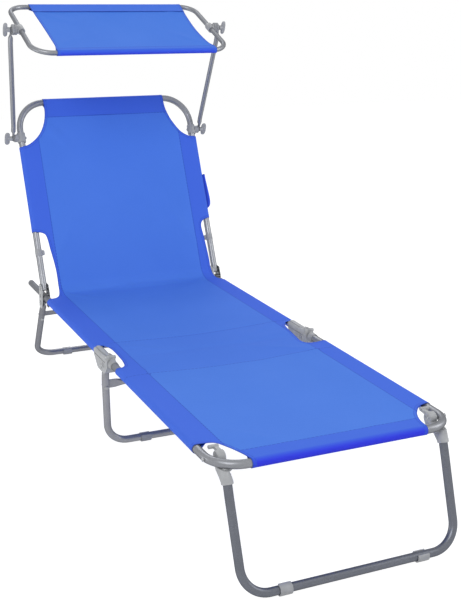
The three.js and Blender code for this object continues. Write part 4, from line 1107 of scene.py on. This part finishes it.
def cloth(
    name, outline, across, along, lay, sewn_from, turned_by,
    rows_across=(), rows_along=(), seam=None, thickness=1.0,
):
    """A piece of cloth from its flat cut, laid by a function.

    Its material reads how far each place is from the cut edge, from a row of stitches, inside a sleeve, and
    round the bar that it turns down over, and by these draws painted shade where the cloth lies double or
    turns away from the light. The edge at the seam with another piece counts as no cut edge.
    """
    cut = bmesh.new()
    cut.faces.new([cut.verts.new((x, y, 0)) for x, y in outline])
    lines = [((x, 0, 0), (1, 0, 0)) for x in across] + [((0, y, 0), (0, 1, 0)) for y in along]
    for place, normal in lines:
        parts = cut.verts[:] + cut.edges[:] + cut.faces[:]
        bmesh.ops.bisect_plane(cut, geom=parts, plane_co=place, plane_no=normal)
    bmesh.ops.remove_doubles(cut, verts=cut.verts[:], dist=CUT_MERGE)
    bmesh.ops.recalc_face_normals(cut, faces=cut.faces[:])
    if sum(f.normal.z for f in cut.faces) < 0:
        bmesh.ops.reverse_faces(cut, faces=cut.faces[:])
    flat_area = sum(f.calc_area() for f in cut.faces) * MM * MM
    sheet = cut.loops.layers.uv.new("cut")
    for face in cut.faces:
        for corner in face.loops:
            corner[sheet].uv = corner.vert.co.xy * MM
    mesh = bpy.data.meshes.new(name)
    cut.to_mesh(mesh)
    cut.free()
    flat = np.array([v.co.xy for v in mesh.vertices])
    edge = distance_to(flat, outline)
    hem = edge if seam is None else np.where(np.abs(flat[:, 1] - seam) < 30, FAR, edge)
    rows = [np.abs(flat[:, 0] - x) for x in rows_across] + [np.abs(flat[:, 1] - y) for y in rows_along]
    row = np.minimum.reduce([np.full(len(flat), FAR), *rows])
    lap = np.array([sewn_from(x, y) for x, y in flat])
    turn = np.array([turned_by(x, y) for x, y in flat])
    for key, values in zip(CLOTH_KEYS, (hem, row, lap, turn)):
        mesh.attributes.new(key, "FLOAT", "POINT").data.foreach_set("value", (values * MM).astype(np.float32))
    for vertex, (x, y) in zip(mesh.vertices, flat):
        vertex.co = lay(x, y)
    piece = bpy.data.objects.new(name, mesh)
    bpy.context.scene.collection.objects.link(piece)
    folded = piece.vertex_groups.new(name="folded")
    for i, d in enumerate(edge):
        folded.add([i], 1.0 if d < HEM_WIDTH else max(SINGLE, 1.0 - (d - HEM_WIDTH) / THINNING), "REPLACE")
    with_modifier(
        piece, "SOLIDIFY", thickness=thickness, offset=0, vertex_group="folded", thickness_vertex_group=0.1
    )
    piece.vertex_groups.clear()
    size = (float(np.ptp(flat[:, 0]) * MM), float(np.ptp(flat[:, 1]) * MM))
    return piece, size, float(flat_area)


FOLD_DEPTH = 1.7


def folds(places, x, y):
    """The height of soft folds: each has its middle, heading, half length, half width and height."""
    height = 0.0
    for fx, fy, heading, half_length, half_width, rise in places:
        c, s = math.cos(math.radians(heading)), math.sin(math.radians(heading))
        along = (x - fx) * c + (y - fy) * s
        across = (y - fy) * c - (x - fx) * s
        fade = math.exp(-((along / half_length) ** 2) - (across / half_width) ** 2)
        height += FOLD_DEPTH * rise * fade
    return height


SLEEVE_REACH = 50.0
FRONT_REACH = 40.0
SLIM_FRONT_REACH = 16.0
SLIM_REAR_REACH = 48.0
_, SIDE_ARC, SIDE_RUN = wrap(SLEEVE_REACH, CLOTH_RADIUS)
FLAT_X = SIDE_X + SIDE_ARC + SIDE_RUN
HEM_X = SIDE_X - SLEEVE_REACH


def across_seat(x):
    """The place across the lounger and the height over the sheet of a flat place."""
    beyond = abs(x) - SIDE_X
    if beyond <= 0:
        return x, 0.0
    out, down = round_tube(beyond, CLOTH_RADIUS, SLEEVE_REACH)
    return math.copysign(SIDE_X + out, x), down


def slack(x, depth):
    """The sag of a sheet between its two sleeves."""
    aside = min(1.0, abs(x) / HEM_X)
    return -depth * (1 - aside**2) ** 1.5


def near_mouths(place, first, last):
    """Is 1 at the mouths of a sleeve and 0 along its middle, by the stretches in which it changes."""
    return max(1 - smooth_share(place, *first), smooth_share(place, *last))


def pinched(height, beyond, arc, near):
    """The height of a sleeve's tail, drawn up to the sheet near the sleeve's mouth, where it is sewn flat."""
    tail_height, tail_start = -1.8, 16
    return height + smooth_share(beyond, arc, arc + tail_start) * near * (tail_height - height)


# Grid steps of the cloth, and finer ones where it goes round a tube
STEP = 11
SLIM_STEP = 9
ROUND_STEP = 2.5
SLIM_ROUND_STEP = 2.2
SIDE_FINE = [(SIDE_X, SIDE_X + SIDE_ARC, ROUND_STEP), (-SIDE_X - SIDE_ARC, -SIDE_X, ROUND_STEP)]
ACROSS = sorted({*stations(-FLAT_X, FLAT_X, STEP, SIDE_FINE), HEM_X, -HEM_X})

# The front sling, from the front bar over the middle hinge to the seam on the seat
SEAM_Y = 108.0
SEAM_LAP = 6
# Folds fade out over this width beside the sleeves
FOLD_FADE = 60
# The doubled part over the middle hinge: where it ends, its slight painted shade, and the low ridge at its
# edge
PATCH_Y = -139.0
PATCH_SHADE = -0.25
PATCH_RIDGE = 0.35
_, FRONT_ARC, FRONT_RUN = wrap(FRONT_REACH, CLOTH_RADIUS)
FRONT_END = -FOOT_LENGTH - FRONT_ARC - FRONT_RUN
FRONT_ROW = -FOOT_LENGTH + FRONT_REACH
FRONT_FOLDS = [
    (-205, -95, 38, 90, 9, 1.6),
    (-190, 60, -32, 80, 9, 1.4),
    (175, -100, -36, 95, 9, 1.7),
    (180, 80, 30, 80, 9, 1.3),
    (-120, 0, 4, 110, 16, -1.2),
    (110, -8, -5, 120, 16, -1.3),
    (0, -300, 88, 160, 40, 0.9),
    (150, -560, 52, 70, 10, 1.2),
    (-150, -565, -50, 70, 10, 1.2),
    (-60, -470, 78, 120, 24, -0.7),
    (70, -200, 84, 130, 26, -0.8),
]


def lay_front(x, y):
    px, height = across_seat(x)
    near = near_mouths(y, (-545, -485), (-150, -90))
    height = pinched(height, abs(x) - SIDE_X, SIDE_ARC, near)
    if y < -FOOT_LENGTH:
        beyond = -FOOT_LENGTH - y
        out, down = round_tube(beyond, CLOTH_RADIUS, FRONT_REACH)
        height += pinched(down, beyond, FRONT_ARC, smooth_share(abs(x), 150, 200))
        return (px, -FOOT_LENGTH - out, SHEET_Z + height)
    if abs(x) < SIDE_X:
        height += slack(px, SEAT_SAG) * smooth_share(y, -FOOT_LENGTH, -FOOT_LENGTH + 190)
        height += folds(FRONT_FOLDS, x, y) * smooth_share(SIDE_X - abs(x), 0, FOLD_FADE)
    if abs(x) < HEM_X:
        height += PATCH_RIDGE * math.exp(-(((y - PATCH_Y) / 6) ** 2))
    return (px, y, SHEET_Z + height)


# The cut's rounded corners at the front bar, and the notches that leave the middle hinges free
right_edge = curve_through([(286, -552), (256, -562), (235, -583), (220, -605), (209, -633), (205, -660)])
left_edge = curve_through([(-286, -556), (-247, -563), (-230, -590), (-216, -628), (-208, -660)])
right_notch = [(282, 101), (265, 97), (252, 86), (240, 52), (229, -20), (222, -62), (229, -82), (246, -89)]
right_notch = curve_through([*right_notch, (282, -83)])
left_notch = [(-290, 106), (-272, 103), (-262, 88), (-256, 60), (-257, 0), (-259, -30), (-265, -62)]
left_notch = curve_through([*left_notch, (-276, -74), (-290, -70)])
front_cut = (
    [(284, SEAM_Y + SEAM_LAP)]
    + right_notch
    + [(FLAT_X, -84), (FLAT_X, -552)]
    + right_edge
    + [(204, FRONT_END), (-207, FRONT_END)]
    + left_edge[::-1]
    + [(-FLAT_X, -556), (-FLAT_X, -70)]
    + left_notch[::-1]
    + [(-291, SEAM_Y + SEAM_LAP)]
)
front_fine = [(-FOOT_LENGTH - FRONT_ARC, -FOOT_LENGTH, ROUND_STEP)]
front_along = stations(FRONT_END, SEAM_Y + SEAM_LAP, STEP, front_fine)
front_along = sorted({*front_along, PATCH_Y, PATCH_Y + 8, SEAM_Y, FRONT_ROW})
sling_front, front_flat, front_area = cloth(
    "front_sling",
    front_cut,
    ACROSS,
    front_along,
    lay_front,
    sewn_from=lambda x, y: max(abs(x) - HEM_X, FRONT_ROW - y, PATCH_SHADE - max(0, PATCH_Y - y)),
    turned_by=lambda x, y: -FOOT_LENGTH - y,
    rows_across=(HEM_X, -HEM_X),
    rows_along=(PATCH_Y, SEAM_Y, FRONT_ROW),
    seam=SEAM_Y + SEAM_LAP,
)
settle(sling_front, SEAT, ["foot_sling"], CLOTH_SMOOTH)
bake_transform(sling_front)

# The rear sling, from the seam on the seat over the bend between the rear brackets to the back's top bar
BEND_RADIUS = 60.0
up_back = Vector((0, math.cos(BACK_ANGLE), math.sin(BACK_ANGLE)))
off_back = Vector((0, -math.sin(BACK_ANGLE), math.cos(BACK_ANGLE)))
pivot = Vector((0, SEAT_LENGTH, BACK_PIVOT_Z))
bend_s = (SHEET_Z - BACK_PIVOT_Z - CLOTH_RADIUS * off_back.z) / up_back.z
bend_y = (pivot + up_back * bend_s + off_back * CLOTH_RADIUS).y
setback = BEND_RADIUS * math.tan(BACK_ANGLE / 2)
ARC_START = bend_y - setback
ARC_LENGTH = BEND_RADIUS * BACK_ANGLE


def along_rear(v):
    """The place and the upward direction on the middle line of the seat and back, from the flat length."""
    if v <= ARC_START:
        return Vector((0, v, SHEET_Z)), Vector((0, 0, 1))
    if v <= ARC_START + ARC_LENGTH:
        a = (v - ARC_START) / BEND_RADIUS
        centre = Vector((0, ARC_START, SHEET_Z + BEND_RADIUS))
        up = Vector((0, -math.sin(a), math.cos(a)))
        return centre - up * BEND_RADIUS, up
    s = v - ARC_START - ARC_LENGTH + bend_s + setback
    return pivot + up_back * s + off_back * CLOTH_RADIUS, off_back


def flat_back(s):
    """The flat length at a place up the back."""
    return s + ARC_START + ARC_LENGTH - bend_s - setback


BACK_TOP = flat_back(BACK_LENGTH)
BACK_END = BACK_TOP + SIDE_ARC + SIDE_RUN
TOP_ROW = BACK_TOP - SLEEVE_REACH
REAR_FOLDS = [
    (-205, 575, -42, 80, 9, 1.6),
    (208, 580, 40, 80, 9, 1.6),
    (-120, flat_back(-25), 3, 110, 12, -1.6),
    (100, flat_back(-18), -4, 120, 12, -1.7),
    (-190, flat_back(150), 60, 90, 10, 1.5),
    (190, flat_back(155), -58, 95, 10, 1.5),
    (-170, flat_back(470), -48, 80, 10, 1.4),
    (168, flat_back(475), 50, 80, 10, 1.4),
    (-40, flat_back(330), 84, 150, 30, -0.9),
    (80, flat_back(260), 96, 130, 28, 0.8),
    (30, 330, 86, 130, 34, 0.8),
    (-110, 260, 80, 110, 26, -0.7),
]


def lay_rear(x, v):
    px, height = across_seat(x)
    aside = Vector((px, 0, 0))
    if v > BACK_TOP:
        out, down = round_tube(v - BACK_TOP, CLOTH_RADIUS, SLEEVE_REACH)
        base, up = along_rear(BACK_TOP)
        down = pinched(down, v - BACK_TOP, SIDE_ARC, smooth_share(abs(x), 140, 190))
        return base + up_back * out + up * (height + down) + aside
    base, up = along_rear(v)
    if abs(x) < SIDE_X:
        held = 1 - 0.6 * math.exp(-(((v - flat_back(-20)) / 70) ** 2))
        held *= smooth_share(BACK_TOP - v, 0, 170)
        height += slack(px, SEAT_SAG) * held
        height += folds(REAR_FOLDS, x, v) * smooth_share(SIDE_X - abs(x), 0, FOLD_FADE)
        # Under the front sling's edge at the seam it lies a little lower
        height -= 1 - smooth_share(v, SEAM_Y + 4, SEAM_Y + 12)
    near = near_mouths(v, (SEAM_Y + 10, SEAM_Y + 70), (495, 555))
    if v > ARC_START:
        near = near_mouths(v, (flat_back(180), flat_back(240)), (flat_back(375), flat_back(430)))
    height = pinched(height, abs(x) - SIDE_X, SIDE_ARC, near)
    return base + up * height + aside


def on_back(points):
    """Flat places from places across and up the back."""
    return [(x, flat_back(s)) for x, s in points]


# The cut's notches that leave the rear brackets free, and its rounded corners at the top bar
right_bend = on_back([(263, 0), (263, 35), (261, 70), (258, 110), (255, 145), (264, 162), (286, 170)])
right_bend = curve_through([(286, 563), (276, 575), (266, 596), *right_bend])
left_bend = on_back([(-239, 0), (-238, 38), (-241, 74), (-246, 112), (-251, 150), (-260, 164), (-286, 171)])
left_bend = curve_through([(-286, 561), (-266, 563), (-252, 578), (-243, 601), *left_bend])
right_top = [(286, 441), (262, 445), (238, 461), (219, 488), (205, 515), (197, 545), (195, 580)]
right_top = curve_through(on_back(right_top))
left_top = [(-286, 436), (-262, 443), (-238, 460), (-219, 482), (-206, 510), (-199, 540), (-198, 580)]
left_top = curve_through(on_back(left_top))
rear_cut = (
    [(FLAT_X, SEAM_Y - SEAM_LAP), (FLAT_X, 561)]
    + right_bend
    + on_back([(FLAT_X, 170), (FLAT_X, 441)])
    + right_top
    + [(195, BACK_END), (-198, BACK_END)]
    + left_top[::-1]
    + on_back([(-FLAT_X, 436), (-FLAT_X, 171)])
    + left_bend[::-1]
    + [(-FLAT_X, 561), (-FLAT_X, SEAM_Y - SEAM_LAP)]
)
rear_fine = [(ARC_START, ARC_START + ARC_LENGTH, 5), (BACK_TOP, BACK_TOP + SIDE_ARC, ROUND_STEP)]
rear_along = stations(SEAM_Y - SEAM_LAP, BACK_END, STEP, rear_fine)
rear_along = sorted({*rear_along, TOP_ROW, SEAM_Y + 6, SEAM_Y + 12})
sling_rear, rear_flat, rear_area = cloth(
    "rear_sling",
    rear_cut,
    ACROSS,
    rear_along,
    lay_rear,
    sewn_from=lambda x, y: max(abs(x) - HEM_X, y - TOP_ROW),
    # It turns down over no bar; this value still gives it a faint share of the turned-away painted shade all
    # over
    turned_by=lambda x, y: -1.0,
    rows_across=(HEM_X, -HEM_X),
    rows_along=(TOP_ROW,),
    seam=SEAM_Y - SEAM_LAP,
)
settle(sling_rear, SEAT, ["seat_sling", "back_sling"], CLOTH_SMOOTH)
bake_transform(sling_rear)

# The canopy cloth, sewn round the front and rear bars of its loop
_, SHADE_FRONT_ARC, SHADE_FRONT_RUN = wrap(SLIM_FRONT_REACH, LOOP_CLOTH_RADIUS)
_, SHADE_REAR_ARC, SHADE_REAR_RUN = wrap(SLIM_REAR_REACH, LOOP_CLOTH_RADIUS)
SHADE_START = -LOOP_FRONT - SHADE_FRONT_ARC - SHADE_FRONT_RUN
SHADE_END = LOOP_REAR + SHADE_REAR_ARC + SHADE_REAR_RUN
SHADE_FRONT_ROW = -LOOP_FRONT + SLIM_FRONT_REACH
SHADE_REAR_ROW = LOOP_REAR - SLIM_REAR_REACH
CANOPY_FOLDS = [
    (-190, 90, -40, 60, 8, 1.2),
    (195, -80, -44, 60, 8, 1.2),
    (-185, -95, 42, 60, 8, 1.1),
    (190, 100, 40, 60, 8, 1.2),
    (0, 20, 90, 110, 40, -1.0),
    (-90, -20, 88, 100, 22, 0.7),
    (100, 0, 93, 100, 24, 0.7),
]


def lay_canopy(x, d):
    if d > LOOP_REAR:
        out, height = round_tube(d - LOOP_REAR, LOOP_CLOTH_RADIUS, SLIM_REAR_REACH)
        place = LOOP_REAR + out
    elif d < -LOOP_FRONT:
        out, height = round_tube(-LOOP_FRONT - d, LOOP_CLOTH_RADIUS, SLIM_FRONT_REACH)
        place = -LOOP_FRONT - out
    else:
        swing = math.sin(math.pi * (d + LOOP_FRONT) / (LOOP_FRONT + LOOP_REAR))
        height = folds(CANOPY_FOLDS, x, d) * swing - CANOPY_SAG * swing**0.8
        place = d
    return (x, place, LOOP_CLOTH_RADIUS + height)


canopy_right = [(253, LOOP_REAR - 14), (247, 80), (241, -20), (243, -112), (252, -LOOP_FRONT + 16)]
canopy_left = [(-232, LOOP_REAR - 14), (-229, 83), (-226, 0), (-227, -110), (-231, -LOOP_FRONT + 16)]
canopy_cut = (
    [(252, SHADE_END)]
    + curve_through(canopy_right)
    + [(252, SHADE_START), (-231, SHADE_START)]
    + curve_through(canopy_left)[::-1]
    + [(-231, SHADE_END)]
)
canopy_fine = [
    (LOOP_REAR, LOOP_REAR + SHADE_REAR_ARC, SLIM_ROUND_STEP),
    (-LOOP_FRONT - SHADE_FRONT_ARC, -LOOP_FRONT, SLIM_ROUND_STEP),
]
canopy_along = stations(SHADE_START, SHADE_END, SLIM_STEP, canopy_fine)
shade, shade_flat, shade_area = cloth(
    "canopy_shade",
    canopy_cut,
    stations(-240, 256, 10),
    sorted({*canopy_along, SHADE_REAR_ROW, SHADE_FRONT_ROW}),
    lay_canopy,
    sewn_from=lambda x, y: max(y - SHADE_REAR_ROW, SHADE_FRONT_ROW - y),
    turned_by=lambda x, y: -LOOP_FRONT - y,
    rows_along=(SHADE_REAR_ROW, SHADE_FRONT_ROW),
    thickness=0.9,
)
settle(shade, CANOPY, ["canopy_cloth"], CLOTH_SMOOTH)
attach(shade, "canopy_top")


# The side pocket: a small bag sewn to the sleeve of the back, wider at its mouth
def side_bag():
    near_x = SIDE_X + CLOTH_RADIUS + 0.8
    low, height, depth = 204.0, 113.0, 96.0
    swell = 4
    # Share of the height, swell and share of the depth, from the bottom to the mouth
    levels = [(0.0, 0.1, 0.9), (0.012, 0.9, 0.95), (0.05, 2.0, 0.985), (0.12, 2.6, 1.0), (0.22, 2.8, 1.0)]
    levels += [(0.4, 2.65, 1.0), (0.65, 2.35, 1.0), (0.88, 2.1, 0.995), (0.9, 2.16, 0.995), (1.0, 2.1, 0.99)]
    share, wide, deep = levels[0]
    bag = circle("side_bag", 40, rotation=(math.pi / 2, 0, 0))
    edit(bag)
    resize((swell * wide, 1, depth / 2 * deep), (0, 0, 0))
    bpy.ops.transform.translate(value=(near_x + swell * wide, low, -depth / 2))
    for new_share, wider, deeper in levels[1:]:
        extrude(((wider - wide) * swell, (new_share - share) * height, 0))
        middle = (near_x + swell * wider, low + height * new_share, -depth / 2)
        resize((wider / wide, 1, deeper / deep), middle)
        share, wide, deep = new_share, wider, deeper
    done()
    mesh = bag.data
    for vertex in mesh.vertices:
        share = (vertex.co.y - low) / height
        ripple = 0.7 * math.sin(vertex.co.z / 9 + 5 * share) * math.sin(math.pi * min(1, share))
        if vertex.co.x > near_x + swell:
            vertex.co.x += ripple
    cut = mesh.uv_layers.new(name="cut")
    for loop in mesh.loops:
        co = mesh.vertices[loop.vertex_index].co
        cut.data[loop.index].uv = ((co.z + co.x) * MM, co.y * MM)
    count = len(mesh.vertices)
    hem = [(low + height - v.co.y) * MM + 0.0001 for v in mesh.vertices]
    # The whole pocket gets the painted shade of double cloth, and part of the painted shade of cloth turned
    # away from the light
    for key, values in zip(CLOTH_KEYS, (hem, [1.0] * count, [0.01] * count, [0.004] * count)):
        mesh.attributes.new(key, "FLOAT", "POINT").data.foreach_set("value", values)
    edit(bag)
    face_outwards()
    done()
    area = sum(p.area for p in mesh.polygons) * MM * MM
    with_modifier(bag, "SOLIDIFY", thickness=0.9, offset=-1)
    with_modifier(bag, "SUBSURF", levels=1, render_levels=1)
    return bag, area


bag, bag_area = side_bag()
settle(bag, BACK, ["side_pocket"], CLOTH_SMOOTH)
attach(bag, "backrest")


# Floor, world and lamps
def mixed_by_rays(tree, share, lit, seen):
    """Is one shader for the rays that light the object, and another by a share for the rays that see."""
    made = node(tree, "ShaderNodeMixShader")
    feed(tree, made.inputs, (maths(tree, "MULTIPLY", seen_rays(tree), share), lit, seen))
    return made.outputs[0]


bpy.ops.object.select_all(action="DESELECT")
bpy.ops.mesh.primitive_plane_add(size=14, location=(0, 0, 0))
floor = bpy.context.object
floor.name = "floor"
material, tree, shader = plain_finish("pale floor", roughness=0.9, base_color="#f4f4f4")
white = node(tree, "ShaderNodeEmission", color=(1, 1, 1, 1), strength=1.25)
out = next(n for n in tree.nodes if n.type == "OUTPUT_MATERIAL")
wire(tree, out, surface=mixed_by_rays(tree, 0.75, shader.outputs["BSDF"], white.outputs["Emission"]))
floor.data.materials.append(material)

world = bpy.data.worlds.new("studio")
bpy.context.scene.world = world
world.use_nodes = True
tree = world.node_tree
tree.nodes.clear()
plain = node(tree, "ShaderNodeBackground", color=(1, 1, 1, 1), strength=0.55)
bright = node(tree, "ShaderNodeBackground", color=(1, 1, 1, 1), strength=1.0)
node(tree, "ShaderNodeOutputWorld", surface=mixed_by_rays(tree, 1.0, plain.outputs[0], bright.outputs[0]))


def lamp(name, place, target, size, power):
    light = bpy.data.lights.new(name, "AREA")
    light.shape = "DISK"
    light.size = size
    light.energy = power
    made = bpy.data.objects.new(name, light)
    made.location = place
    made.rotation_euler = (Vector(target) - Vector(place)).to_track_quat("-Z", "Y").to_euler()
    bpy.context.scene.collection.objects.link(made)


lamp("key", (-2.4, -2.8, 3.4), (0, 0, 0.3), 2.6, 86)
lamp("fill", (3.2, -1.6, 2.2), (0, 0.1, 0.4), 2.6, 52)
lamp("back", (0.6, 3.4, 3.0), (0, 0.2, 0.5), 2.4, 42)
lamp("low side", (-1.9, 0.4, 0.4), (-0.2, 0.3, 0.15), 0.8, 5)

# Camera, at the photograph's viewing angle
PHOTO_WIDTH = 461
LENS_IN_PIXELS = 1050.01
SENSOR_WIDTH = 36
yaw, pitch, roll = math.radians(24.16), math.radians(-17.43), math.radians(0.45)
forward = Vector((math.sin(yaw) * math.cos(pitch), math.cos(yaw) * math.cos(pitch), math.sin(pitch)))
level = Vector((math.cos(yaw), -math.sin(yaw), 0))
upright = level.cross(forward)
right = level * math.cos(roll) + upright * math.sin(roll)
up = upright * math.cos(roll) - level * math.sin(roll)
lens = bpy.data.cameras.new("camera")
lens.sensor_fit = "HORIZONTAL"
lens.sensor_width = SENSOR_WIDTH
lens.lens = LENS_IN_PIXELS / PHOTO_WIDTH * SENSOR_WIDTH
lens.shift_x = 0.0195
lens.shift_y = 0.0321
lens.clip_end = 60
camera = bpy.data.objects.new("camera", lens)
turn = Matrix((right, up, -forward)).transposed().to_4x4()
camera.matrix_world = moved(-1.03666, -2.36025 + FRAME_SHIFT, 1.16626) @ turn
bpy.context.scene.collection.objects.link(camera)
bpy.context.scene.camera = camera
bpy.context.scene.view_settings.view_transform = "Standard"
